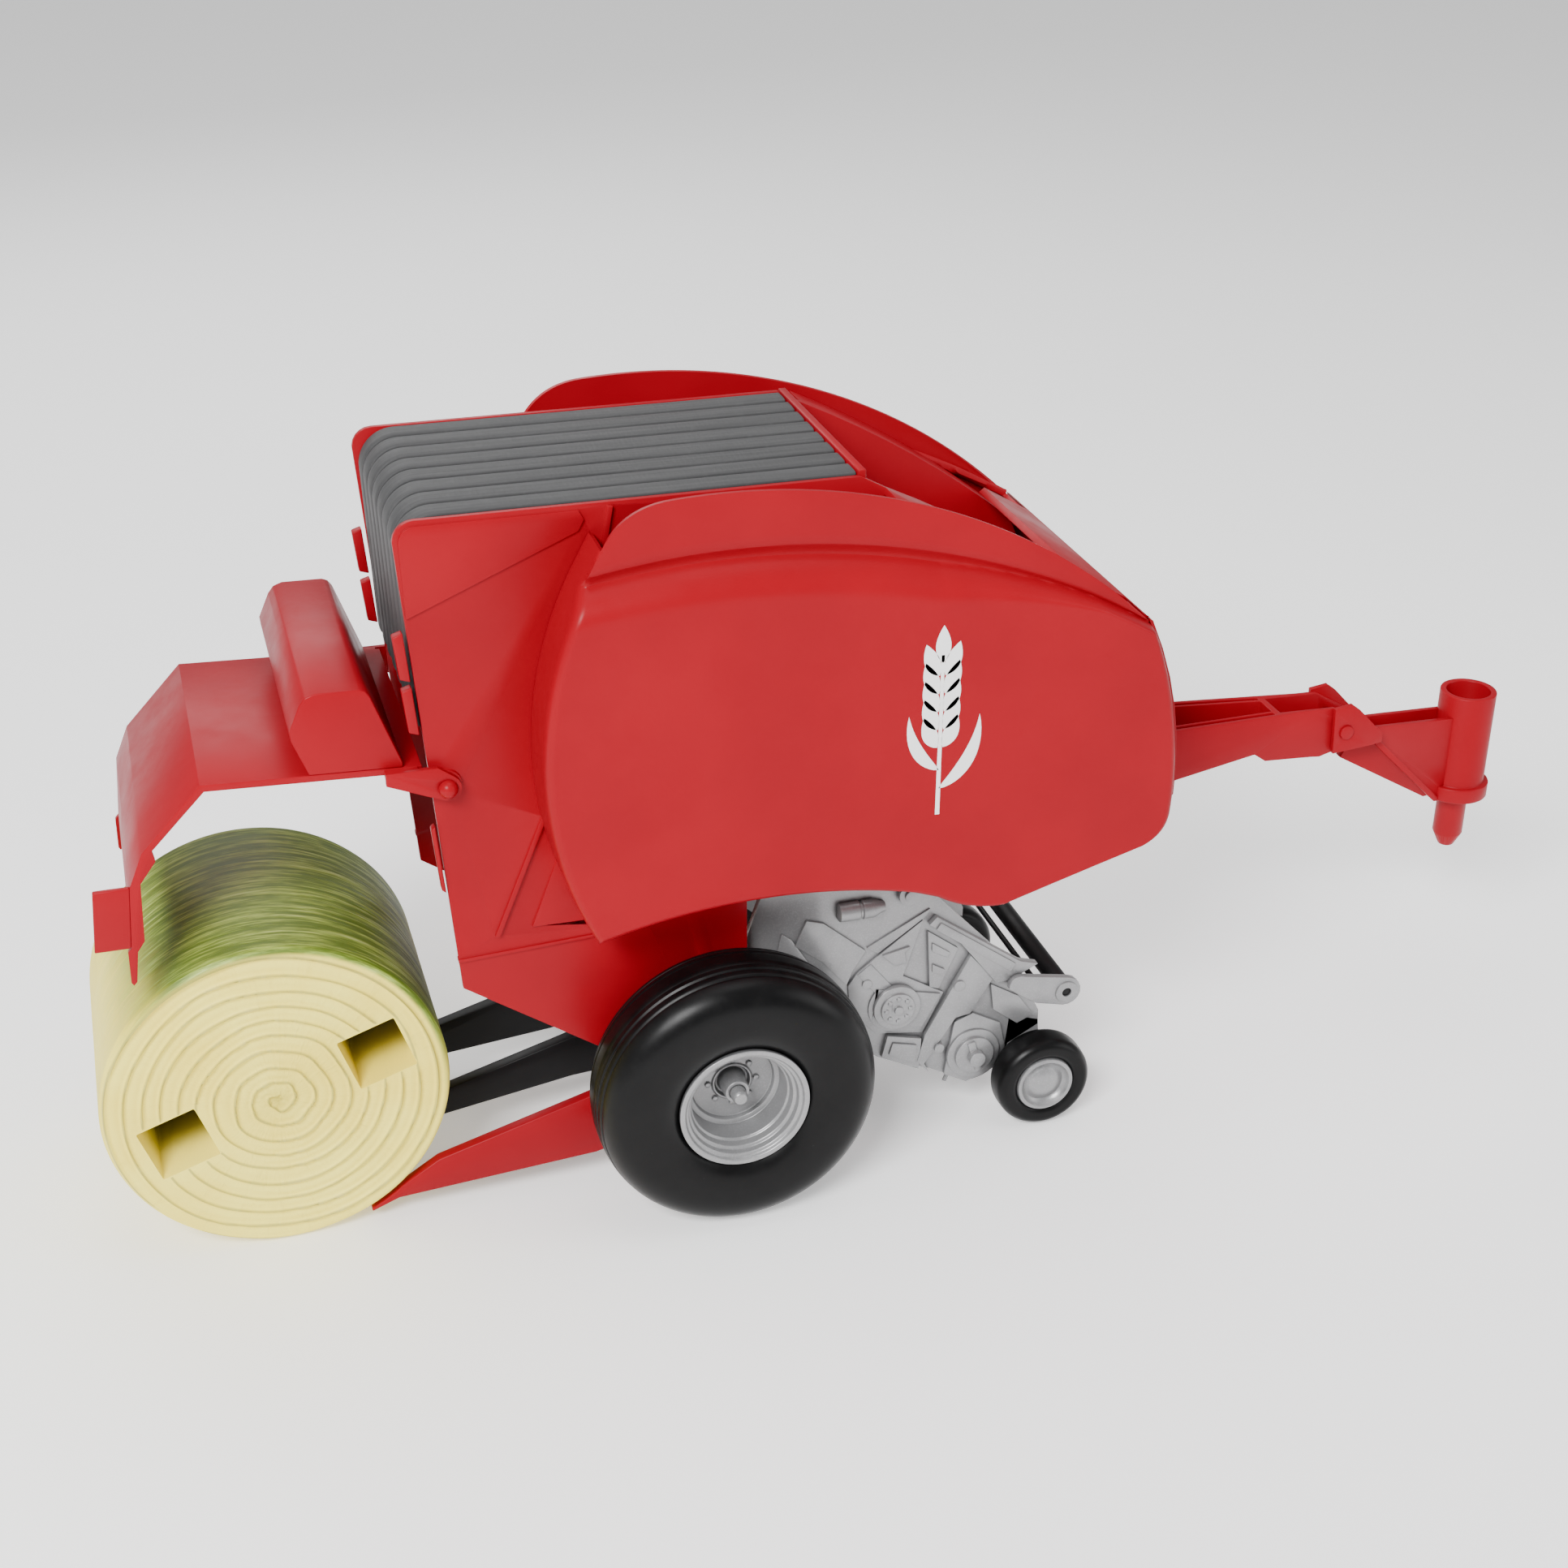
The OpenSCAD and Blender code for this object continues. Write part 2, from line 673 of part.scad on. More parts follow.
// Stepped rim, deep disc and the sleeve that runs on the axle.
module rim(side) {
    r = rim_r - 0.25;
    section = [
        [r, wheel_w - 2.2], [r, 3], [r + 0.9, 2.4], [r + 0.9, 1.2], [r - 0.3, 1.2],
        [r - 0.7, 2.2], [r - 1.5, 2.4], [r - 1.7, 3.8], [r - 2.5, 4], [r - 2.8, 6],
        [r - 3.4, 6.4], [r - 3.6, rim_depth - 1.4], [r - 5, rim_depth - 1.4],
        [r - 5.2, rim_depth], [dish_r, rim_depth], [dish_r - 0.4, rim_depth + 0.8],
        [hub_r, rim_depth + 0.8], [hub_r - 0.5, rim_depth - 5.5], [axle_r + run, rim_depth - 5.5],
        [axle_r + run, wheel_w - 1], [hub_r, wheel_w - 1], [hub_r, rim_depth + 3.4],
        [r - 1.8, rim_depth + 3.4], [r - 1.8, wheel_w - 2.2]];
    color("silver") at_wheel(side) wheel_ring(section);
}

module rim_right() {
    rim("right");
}

module rim_left() {
    rim("left");
}

// Eight bolt heads standing on the rim disc.
module wheel_bolts(side) {
    color("silver") at_wheel(side) for (i = [0:7]) {
        a = 22.5 + 45 * i;
        translate([bolt_circle_r * cos(a), rim_depth - 0.7, bolt_circle_r * sin(a)])
            rotate([-90, 0, 0]) cylinder(r = 0.75, h = 0.7, $fn = 24);
    }
}

module wheel_bolts_right() {
    wheel_bolts("right");
}

module wheel_bolts_left() {
    wheel_bolts("left");
}

// ---------------------------------------------------------------- tailgate

gate_hw = wall_out + 0.5;
ear_in = rim_out + 0.4;
ear_out = ear_in + 1.4;
gate_top_z = gate_hinge_z + 5.4;
gate_corner = [bale_x - 9.4, gate_top_z + 2];
gate_shoulder = gate_corner + [-14.4, -15.2];
gate_lip = gate_shoulder + [-5, -24];
lip_top = gate_shoulder + [-3.6, -8.4];

// Side view of the gate's outside, from its hinge end to its lip, in the open position.
function gate_outer() = [
    [gate_hinge.x - 5.4, gate_top_z], gate_corner, gate_shoulder, lip_top, gate_lip];
// The same line moved in by t.
function gate_inner(t) = [
    [gate_hinge.x - 5.4, gate_top_z - t], gate_corner + [0.5 * t, -1.05 * t],
    gate_shoulder + [0.98 * t, -0.3 * t], lip_top + [t, -0.1 * t],
    gate_lip + [t, 0]];

module gate_panel() {
    color("indianred") place() difference() {
        union() {
            slab(concat(gate_outer(), reversed(gate_inner(gate_t))), -gate_hw, gate_hw);
            for (side = ["right", "left"]) {
                on_side(side) gate_edge();
            }
        }
        bar(gate_hinge, gate_pin_r + run, -ear_out - cut, ear_out + cut);
    }
}

// Side flange with its hooked tip, and the hinge ear, outside the bale's width.
module gate_edge() {
    y0 = -gate_hw;
    y1 = -wall_in - gap;
    slab([gate_shoulder, lip_top, gate_lip, gate_lip + [-0.9, -1], gate_lip + [-1.1, -9],
        gate_lip + [-0.6, -9.8], gate_lip + [0.2, -9], gate_lip + [1.3, -1.1],
        gate_lip + [3.1, 1.5], gate_shoulder + [-1.1, -7.7], gate_shoulder + [2.8, -2.4],
        gate_shoulder + [2.2, 1]], y0, y1);
    slab(concat(arc(gate_hinge, 3.2, -120, 60, 8), [[gate_hinge.x - 2, gate_top_z],
        [gate_hinge.x - 14, gate_top_z], [gate_hinge.x - 14, gate_top_z - 3]]),
        -ear_out, -ear_in);
    slab([[gate_hinge.x - 6.4, gate_top_z], [gate_hinge.x - 14, gate_top_z],
        [gate_hinge.x - 14, gate_top_z - gate_t], [gate_hinge.x - 6.4, gate_top_z - gate_t]],
        -ear_out, y1);
}

// Net box across the top of the gate, open below where the panel closes it.
module net_box() {
    x = gate_hinge.x - 9.6;
    z = gate_top_z;
    outer = [
        [x, z - 1], [x, z + 1.4], [x - 6.2, z + 18.8], [x - 7.2, z + 20.2], [x - 8.6, z + 20.8],
        [x - 18.4, z + 21], [x - 20.6, z + 20.2], [x - 22, z + 18.4], [x - 24.7, z + 12.4],
        [x - 24.5, z + 10], [x - 21.3, z + 1.4], [x - 21.3, z - 1]];
    inner = [
        [x - 2, z - 3], [x - 2, z + 1.4], [x - 7.8, z + 18.2], [x - 9, z + 19.2],
        [x - 19, z + 19.4], [x - 20.6, z + 17.8], [x - 23, z + 12.2], [x - 22.9, z + 10.4],
        [x - 19.7, z + 1.6], [x - 19.7, z - 3]];
    color("indianred") place() difference() {
        slab(outer, -gate_hw, gate_hw);
        slab(inner, -gate_hw + 1.6, gate_hw - 1.6);
        slab(concat(gate_outer(), [gate_outer()[0] - [0, 40]]), -gate_hw - cut, gate_hw + cut);
    }
}

// Finger tab on the right-hand edge of the gate.
module gate_handle() {
    color("indianred") place()
        slab([gate_lip + [-8.2, 0], gate_lip, lip_top, lip_top + [-8.2, 0]],
            -gate_hw, -wall_in - gap);
}

// ---------------------------------------------------------------- bale

bale_t = 2;

// One moulded half of the bale, open at the centre plane; side is -1 right or 1 left.
module bale_half(side) {
    y0 = side < 0 ? -bale_hw : 0.03;
    y1 = side < 0 ? -0.03 : bale_hw;
    difference() {
        bar([bale_x, bale_r], bale_r, y0, y1, round_fn);
        difference() {
            bar([bale_x, bale_r], bale_r - bale_t, side < 0 ? y0 + bale_t : -cut,
                side < 0 ? cut : y1 - bale_t, round_fn);
            fork_holes(fork_hole + 2 * bale_t);
        }
        fork_holes(fork_hole);
    }
}

// Two square bars through the bale, on a tilted line through its middle.
module fork_holes(size) {
    translate([bale_x, 0, bale_r]) rotate([0, -fork_tilt, 0]) for (s = [-1, 1]) {
        translate([s * fork_offset - size / 2, -bale_hw - cut, -size / 2])
            cube([size, 2 * bale_hw + 2 * cut, size]);
    }
}

module bale_half_right() {
    color("khaki") place() bale_half(-1);
}

module bale_half_left() {
    color("khaki") place() bale_half(1);
}

// ---------------------------------------------------------------- pickup

side_in = wall_in - 5;
side_out = side_in + 2;
detail_out = side_out + 1.5;
pivot = [pickup_pivot_x, pickup_pivot_z];
reel = [71.5, 20.6];
drive = [49.1, 39.5];
gauge = [89, gauge_r];
guard_hinge = [83, 41];
guard_tip = [96.4, 37];

// Side view of a pickup side plate.
function pickup_outline() = concat(
    [[7.4, 62], [13.5, 80], [pivot.x - 5, pivot.y - 2]],
    arc(pivot, 5, 160, 10, 6),
    [[58, 72], guard_hinge + [0, 4], [90.4, 30], [90.4, 25.6], [82, 21]],
    arc(reel, 9.4, -20, -95, 5),
    [[59.8, 17], [44.8, 23.5], [30, 36], [14, 50]]);

module pickup_side(side) {
    on_side(side) difference() {
        union() {
            slab(pickup_outline(), -side_out, -side_in);
            pickup_details();
            gauge_stub();
        }
        bar(pivot, pickup_pivot_r + run, -detail_out - cut, -side_in + cut);
        bar(reel, 2 + run, -side_out - 0.5, -side_in + cut);
        bar(guard_hinge, 1.2 + run, -detail_out - cut, -side_in + cut);
    }
}

// Raised panels, ribs and the small cylinder cast on the outside of a plate.
module pickup_details() {
    y1 = -side_in - 0.5;
    slab([[16, 52], [21, 70], [24, 70.5], [39, 60], [30, 46], [22, 45]], -side_out - 0.7, y1);
    slab([[40, 30], [38, 46], [56, 62], [62, 62], [58, 34], [52, 31]], -side_out - 0.8, y1);
    slab(strip([40.5, 45], [57, 62.5], 2.4), -detail_out, y1);
    slab(strip([58.5, 63.5], [82, 42], 5.6), -detail_out, y1);
    slab(strip([69, 47], [59.5, 21], 7.4), -detail_out, y1);
    slab([[46, 24], [47.5, 30], [57, 29], [57, 19.4]], -detail_out - 0.8, y1);
    translate([33.4, -side_out - 0.2, 69]) rotate([0, 80, 0]) cylinder(r = 2.6, h = 12, $fn = small_fn);
    bar([54.6, 73], 3, -detail_out, y1);
}

// Bracket and stub on which a gauge wheel turns.
module gauge_stub() {
    slab([[82, 30], [90.4, 27], gauge + [2.6, 0], gauge + [0, -2.6], gauge + [-2.6, 0], [81, 20]],
        -side_out, -side_in);
    bar(gauge, 1.5, -gauge_face + 1.6, -side_in);
}

module pickup_side_right() {
    color("silver") place() pickup_side("right");
}

module pickup_side_left() {
    color("silver") place() pickup_side("left");
}

// Tube that joins the two side plates behind the reel.
module pickup_cross_tube() {
    color("silver") place() difference() {
        union() {
            bar([44, 52], 4, -side_in + 0.02, side_in - 0.02, round_fn);
            bar([24, 66], 3, -side_in + 0.02, side_in - 0.02, round_fn);
        }
        bar([44, 52], 2.6, -side_in - cut, side_in + cut, round_fn);
    }
}

band_w = 2.6;
band_count = 8;
band_pitch = (2 * side_in - 0.2 - band_w) / band_count;
band_r = 10;

// Curved stripper bands over the reel, joined by a cross plate clear of the tines.
module pickup_bands() {
    back = reel.x - tine_reach - 2.6;
    low = reel.y + 2;
    band = concat([[back, reel.y + band_r]], arc(reel, band_r, 90, -70, 10),
        arc(reel, band_r + 1.2, -70, 90, 10), [[back, reel.y + band_r + 1.2]]);
    plate = [[back - 1.6, low], [back, low], [back, reel.y + 15], [48.4, 47.4], [47, 46.6],
        [back - 1.6, reel.y + 15]];
    color("silver") place() union() {
        for (i = [0:band_count]) {
            y = band_pitch * (i - band_count / 2);
            slab(band, y - band_w / 2, y + band_w / 2);
        }
        slab(plate, -side_in + 0.1, side_in - 0.1);
    }
}

// Round end cap over the reel's bearing, with its tee-shaped knob.
module pickup_cap(side) {
    on_side(side) {
        bar(reel, 7.4, -detail_out - 0.1, -side_out - 0.02);
        bar(reel, 5.4, -detail_out - 1.2, -detail_out);
        bar(reel, 2.2, -detail_out - 3.6, -detail_out);
        slab(strip(reel + [-1.4, 4.6], reel + [1.2, -4.4], 2), -detail_out - 2, -detail_out);
    }
}

module pickup_cap_right() {
    color("silver") place() pickup_cap("right");
}

module pickup_cap_left() {
    color("silver") place() pickup_cap("left");
}

// Round drive housing with a ring of bolts.
module pickup_drive(side) {
    on_side(side) {
        bar(drive, 6.4, -detail_out - 1, -side_out - 0.82);
        bar(drive, 4.6, -detail_out - 1.8, -detail_out);
        for (i = [0:7]) {
            bar(drive + 3.3 * [cos(45 * i), sin(45 * i)], 0.6, -detail_out - 2.2, -detail_out, 16);
        }
        bar(drive, 1.2, -detail_out - 2.6, -detail_out);
    }
}

module pickup_drive_right() {
    color("silver") place() pickup_drive("right");
}

module pickup_drive_left() {
    color("silver") place() pickup_drive("left");
}

bar_r = 7;
bar_t = 2;

// Shaft with a disc at each end; the discs carry the tine bars.
module reel_shaft() {
    disc_y = side_in - 0.6;
    color("gray") place() {
        bar(reel, 2, -side_out + 0.6, side_out - 0.6, round_fn);
        for (y = [-disc_y, disc_y - 1.2]) {
            bar(reel, band_r - 0.8, y, y + 1.2, round_fn);
        }
    }
}

// Square bars between the end discs, each with a row of tines.
module reel_tines() {
    hw = side_in - 1.8;
    color("gray") place() translate([reel.x, 0, reel.y]) for (j = [0:tine_bars - 1]) {
        rotate([0, 360 / tine_bars * j + 20, 0]) {
            translate([-bar_t / 2, -hw, bar_r - bar_t]) cube([bar_t, 2 * hw, bar_t]);
            for (i = [0:band_count - 1]) {
                translate([0, band_pitch * (i - (band_count - 1) / 2), bar_r])
                    cylinder(r = 0.6, h = tine_reach - bar_r, $fn = 16);
            }
        }
    }
}

// ---------------------------------------------------------------- gauge wheels

gauge_face = side_out + gauge_w + 1.8;

module at_gauge(side) {
    place() on_side(side) translate([gauge.x, -gauge_face, gauge.y]) children();
}

module gauge_tyre(side) {
    r = gauge_r;
    section = concat(
        [[8, gauge_w], [8, 0.8]], arc([r - 2.4, 2.4], 2.4, -120, 0, 6),
        arc([r - 1.6, gauge_w - 1.6], 1.6, 0, 90, 4));
    color([0.1, 0.1, 0.1]) at_gauge(side) wheel_ring(section);
}

// Dished silver hub with a domed middle that closes the end of the stub.
module gauge_hub(side) {
    section = [
        [7.97, gauge_w], [7.97, 0.2], [7, 0], [6.6, 0.8], [5.4, 1.6], [4.4, 1.5], [3.2, 0.8],
        [1.6, 0.3], [0, 0.2], [0, 1.2], [1.5 + run, 1.3], [1.5 + run, gauge_w]];
    color("silver") at_gauge(side) wheel_ring(section);
}

module gauge_tyre_right() {
    gauge_tyre("right");
}

module gauge_tyre_left() {
    gauge_tyre("left");
}

module gauge_hub_right() {
    gauge_hub("right");
}

module gauge_hub_left() {
    gauge_hub("left");
}

// ---------------------------------------------------------------- wind guard

// Side view of a guard arm: a finger that ends in a round lobe.
function guard_outline() = concat(
    arc(guard_hinge, 3, 60, 190, 5), [[88, 34.8]], arc(guard_tip, 4.2, -100, 80, 8));

module guard_arm(side) {
    on_side(side) difference() {
        union() {
            slab(guard_outline(), -detail_out - 2.2, -detail_out - 0.4);
            bar(guard_tip, 3.1, -detail_out - 2.8, -detail_out - 0.4);
            bar(guard_hinge, 1.2, -detail_out - 0.5, -side_in + 0.4);
        }
        bar(guard_tip, 1.3, -detail_out - 4, -side_in);
        bar(guard_tip + [-6, 0], 0.8 + 0.02, -detail_out - 1.4, -side_in);
    }
}

module guard_arm_right() {
    color("silver") place() guard_arm("right");
}

module guard_arm_left() {
    color("silver") place() guard_arm("left");
}

module guard_rod() {
    color([0.12, 0.12, 0.12]) place() bar(guard_tip + [-6, 0], 0.8, -detail_out - 1.3, detail_out + 1.3);
}

// Dark roller that turns between the two guard arms.
module guard_roller() {
    color([0.12, 0.12, 0.12]) place() {
        bar(guard_tip, 2.6, -detail_out, detail_out, round_fn);
        bar(guard_tip, 1.3 - run, -detail_out - 2.4, detail_out + 2.4, round_fn);
    }
}

chamber_wall_right();
chamber_wall_left();
side_cover_right();
side_cover_left();
front_hood();
belt_crossbar();
belt_bed();
belts();
belt_roller();
chamber_front();
rear_clips_right();
rear_clips_left();
gate_hinge_pins();
pickup_pivot_bar();
axle();
axle_housing();
ramp_carrier();
ramp_arm_right();
ramp_arm_centre();
ramp_arm_left();
drawbar_bracket();
drawbar_beam();
drawbar_pin();
tyre_right();
rim_right();
wheel_bolts_right();
tyre_left();
rim_left();
wheel_bolts_left();
gate_panel();
net_box();
gate_handle();
bale_half_right();
bale_half_left();
pickup_side_right();
pickup_side_left();
pickup_cross_tube();
pickup_bands();
pickup_cap_right();
pickup_cap_left();
pickup_drive_right();
pickup_drive_left();
reel_shaft();
reel_tines();
gauge_tyre_right();
gauge_hub_right();
gauge_tyre_left();
gauge_hub_left();
guard_arm_right();
guard_arm_left();
guard_rod();
guard_roller();
hitch_frame();
hitch_tube();
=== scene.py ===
# %% [markdown]
# # A toy round baler, finished in Blender
# The moulded shapes come packed from CAD. This file gives them their finish: rounded plastic
# edges, a satin red body, soft black tyres, a silver pickup and a bale wound from straw.
# Every piece is made in millimetres in side view, with the axle at x = 0, and then put into the
# part's own frame in metres.

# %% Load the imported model
import math

import bmesh
import bpy
from mathutils import Matrix, Vector, noise


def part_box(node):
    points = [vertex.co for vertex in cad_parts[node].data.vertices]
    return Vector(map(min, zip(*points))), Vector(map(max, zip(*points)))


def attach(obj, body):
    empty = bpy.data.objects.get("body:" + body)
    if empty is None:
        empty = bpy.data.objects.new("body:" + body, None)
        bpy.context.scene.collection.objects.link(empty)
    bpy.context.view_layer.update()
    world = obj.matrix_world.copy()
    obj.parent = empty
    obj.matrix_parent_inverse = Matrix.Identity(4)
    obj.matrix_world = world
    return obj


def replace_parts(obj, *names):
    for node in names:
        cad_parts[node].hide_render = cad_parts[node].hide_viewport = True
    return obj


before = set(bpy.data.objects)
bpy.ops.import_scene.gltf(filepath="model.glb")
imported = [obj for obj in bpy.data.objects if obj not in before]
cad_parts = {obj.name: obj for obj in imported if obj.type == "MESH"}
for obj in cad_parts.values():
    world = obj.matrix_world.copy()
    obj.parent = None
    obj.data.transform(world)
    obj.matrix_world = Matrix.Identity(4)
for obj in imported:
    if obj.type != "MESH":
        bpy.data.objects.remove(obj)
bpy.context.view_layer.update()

MM = 0.001
lowest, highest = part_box("axle")
AXLE_X = (lowest.x + highest.x) / 2
AXLE_Z = (lowest.z + highest.z) / 2
print(f"{len(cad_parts)} nodes; the axle is at x {AXLE_X * 1000:.1f} mm, z {AXLE_Z * 1000:.1f} mm")

# %% [markdown]
# ## Camera, floor and light
# A small moulded toy is lit in a tent: big soft panels and a pale sweep under it. One large
# panel on the upper left gives the long highlight on the tyres and covers, and a weaker one
# on the right keeps the hitch from going dark.

# %% Camera
def look(name, place, right, up, forward):
    camera = bpy.data.objects.new(name, bpy.data.cameras.new(name))
    camera.matrix_world = Matrix((
        (right[0], up[0], -forward[0], place[0]), (right[1], up[1], -forward[1], place[1]),
        (right[2], up[2], -forward[2], place[2]), (0, 0, 0, 1)))
    bpy.context.scene.collection.objects.link(camera)
    return camera


camera = look("camera", (AXLE_X - 0.12868, -0.50993, 0.36719), (0.95690, -0.29038, 0.00513),
              (0.12850, 0.43916, 0.88917), (0.26045, 0.85019, -0.45755))
camera.data.lens = 52.919
camera.data.sensor_width = 36
camera.data.clip_start = 0.01
bpy.context.scene.camera = camera
print("camera at", [round(v, 3) for v in camera.matrix_world.translation])


# %% Soft panels and the tent's own light
def panel(name, place, target, size, power, tint=(1, 1, 1)):
    light = bpy.data.lights.new(name, "AREA")
    light.shape = "RECTANGLE"
    light.size, light.size_y = size
    light.energy = power
    light.color = tint
    lamp = bpy.data.objects.new(name, light)
    lamp.location = place
    lamp.rotation_euler = (Vector(target) - Vector(place)).to_track_quat("-Z", "Y").to_euler()
    bpy.context.scene.collection.objects.link(lamp)
    return lamp


TARGET = (0, 0, 0.08)
panel("panel_upper_left", (-0.6, -0.75, 0.85), TARGET, (0.45, 0.35), 23)
panel("panel_top", (0.1, 0.1, 1.1), TARGET, (0.9, 0.9), 7)
panel("panel_right", (0.95, -0.5, 0.45), TARGET, (0.6, 0.6), 4)
panel("panel_back", (-0.2, 0.95, 0.7), TARGET, (0.8, 0.5), 4)

world = bpy.data.worlds.new("tent")
world.use_nodes = True
sky = world.node_tree.nodes["Background"]
sky.inputs["Color"].default_value = (1, 1, 1, 1)
sky.inputs["Strength"].default_value = 0.45
bpy.context.scene.world = world


# %% [markdown]
# ## Shader maths
# A finish is a handful of formulas. `Wire` wraps one output socket and overloads the operators,
# so `grain * 0.4 + 0.3` adds its Math nodes by itself. `Paint` owns one material and adds every
# other node from its type, its settings and the values or links of its sockets.

# %% Wire and Paint
class Wire:
    def __init__(self, paint, socket):
        self.paint, self.socket = paint, socket

    def maths(self, operation, a, b=0.0):
        return self.paint.add("ShaderNodeMath", {"operation": operation}, {0: a, 1: b})

    def __add__(self, other): return self.maths("ADD", self, other)
    def __sub__(self, other): return self.maths("SUBTRACT", self, other)
    def __rsub__(self, other): return self.maths("SUBTRACT", other, self)
    def __mul__(self, other): return self.maths("MULTIPLY", self, other)
    def __truediv__(self, other): return self.maths("DIVIDE", self, other)
    def __rtruediv__(self, other): return self.maths("DIVIDE", other, self)
    def __pow__(self, other): return self.maths("POWER", self, other)
    __radd__, __rmul__ = __add__, __mul__

    def ramp(self, low, high):
        """0 below low, 1 above high and smooth between them."""
        return self.paint.add("ShaderNodeMapRange", {"interpolation_type": "SMOOTHSTEP"},
                              {"Value": self, "From Min": low, "From Max": high})


class Paint:
    def __init__(self, name):
        self.material = bpy.data.materials.new(name)
        self.material.use_nodes = True
        self.tree = self.material.node_tree
        self.surface = self.tree.nodes["Principled BSDF"]
        self.place = self.add("ShaderNodeTexCoord", out="Object")

    def add(self, kind, settings={}, sockets={}, out=0):
        node = self.tree.nodes.new(kind)
        for key, value in settings.items():
            if key == "stops":
                ramp = node.color_ramp.elements
                for stop in value[2:]:
                    ramp.new(stop[0])
                for element, (at, colour) in zip(ramp, value):
                    element.position, element.color = at, (*colour, 1)
            else:
                setattr(node, key, value)
        self.feed(node, sockets)
        return Wire(self, node.outputs[out])

    def feed(self, node, sockets):
        for key, value in sockets.items():
            if isinstance(value, Wire):
                self.tree.links.new(value.socket, node.inputs[key])
            elif isinstance(value, (tuple, list)) and len(value) == 3 \
                    and node.inputs[key].type == "RGBA":
                node.inputs[key].default_value = (*value, 1)
            else:
                node.inputs[key].default_value = value

    def noise(self, scale, detail=2.0, roughness=0.5, vector=None):
        return self.add("ShaderNodeTexNoise", {}, {
            "Vector": vector or self.place, "Scale": scale, "Detail": detail,
            "Roughness": roughness})

    def stretched(self, x, y, z):
        return self.add("ShaderNodeMapping", {}, {"Vector": self.place, "Scale": (x, y, z)})

    def mix(self, share, a, b, blend="MIX"):
        node = self.tree.nodes.new("ShaderNodeMix")
        node.data_type, node.blend_type = "RGBA", blend
        self.feed(node, {0: share, 6: a, 7: b})
        return Wire(self, node.outputs[2])

    def bump(self, height, distance, strength=1.0):
        return self.add("ShaderNodeBump", {}, {
            "Height": height, "Distance": distance, "Strength": strength})

    def finish(self, **sockets):
        self.feed(self.surface, {k.replace("_", " "): v for k, v in sockets.items()})
        return self.material


print("shader helpers ready")


# %% [markdown]
# ## Finishes
# Moulded plastic is never one flat colour. Its pigment drifts a little, its skin has the fine
# grain of the spark-eroded mould, and handling polishes it unevenly. Each finish below has all
# three at their real scale: drift over centimetres, grain at a quarter of a millimetre.

# %% Red body plastic
def moulded(name, colour, drift, roughness, sheen=0.2, grain=6e-6, grain_scale=2600):
    """Moulded plastic: colour drift, uneven polish and the mould's fine grain."""
    paint = Paint(name)
    clouds = paint.noise(26, 3, 0.6)
    fine = paint.noise(grain_scale, 2, 0.6)
    polish = paint.noise(75, 4, 0.65)
    darker = tuple(c * (1 - drift) for c in colour)
    lighter = tuple(min(1, c * (1 + drift)) for c in colour)
    tone = paint.mix(clouds.ramp(0.32, 0.68), darker, lighter)
    specks = fine.ramp(0.62, 0.8) * 0.1
    return paint.finish(
        Base_Color=paint.mix(specks, tone, tuple(min(1, c * 1.3 + 0.004) for c in colour)),
        Specular_IOR_Level=sheen, Roughness=polish.ramp(0.3, 0.75) * 0.12 + roughness,
        Normal=paint.bump(fine, grain))


RED = moulded("red_plastic", (0.275, 0.0014, 0.008), 0.05, 0.32, sheen=0.12)
BLACK = moulded("black_plastic", (0.006, 0.006, 0.0065), 0.2, 0.4)
print("moulded finishes:", RED.name, BLACK.name)


# %% Silver plastic with its metal flake
def flaked(name, colour, roughness):
    """Silver paint: a pale coat of tiny flakes, with painted shade darkening every corner."""
    paint = Paint(name)
    flake = paint.add("ShaderNodeTexVoronoi", {}, {"Vector": paint.place, "Scale": 3200}, "Color")
    shade = paint.add("ShaderNodeSeparateColor", {}, {0: flake})
    clouds = paint.noise(90, 3, 0.6)
    corner = paint.add("ShaderNodeAmbientOcclusion", {"samples": 8}, {"Distance": 0.0016}, "AO")
    dull = tuple(c * 0.84 for c in colour)
    tone = paint.mix(clouds.ramp(0.3, 0.7), dull, colour)
    lit = paint.mix(shade.ramp(0.55, 1.0) * 0.3, tone, tuple(min(1, c * 1.3) for c in colour))
    # painted shade: ambient occlusion darkens the colour towards near black in corners and recesses
    painted_corner_shade = 1 - corner.ramp(0.25, 0.9)
    return paint.finish(
        Base_Color=paint.mix(painted_corner_shade * 0.6, lit, (0.035, 0.035, 0.037)),
        Metallic=clouds.ramp(0.2, 0.8) * 0.1 + 0.45,
        Roughness=shade * 0.12 + roughness, Normal=paint.bump(shade, 6e-6))


SILVER = flaked("silver_plastic", (0.29, 0.29, 0.295), 0.3)
print("flaked finish:", SILVER.name)


# %% Soft tyre plastic, belts and print
def tyre_finish():
    """Soft black plastic: slightly greasy sheen, with lint and dull patches on it."""
    paint = Paint("tyre_black")
    clouds = paint.noise(120, 4, 0.65)
    lint = paint.noise(700, 2, 0.7)
    fine = paint.noise(2400, 2, 0.5)
    tone = paint.mix(clouds.ramp(0.35, 0.7), (0.0022, 0.0022, 0.0024), (0.0036, 0.0036, 0.0038))
    return paint.finish(
        Base_Color=paint.mix(lint.ramp(0.72, 0.8) * 0.4, tone, (0.03, 0.03, 0.03)),
        Specular_IOR_Level=0.16, Roughness=clouds.ramp(0.3, 0.8) * 0.12 + 0.3,
        Normal=paint.bump(fine, 5e-6))


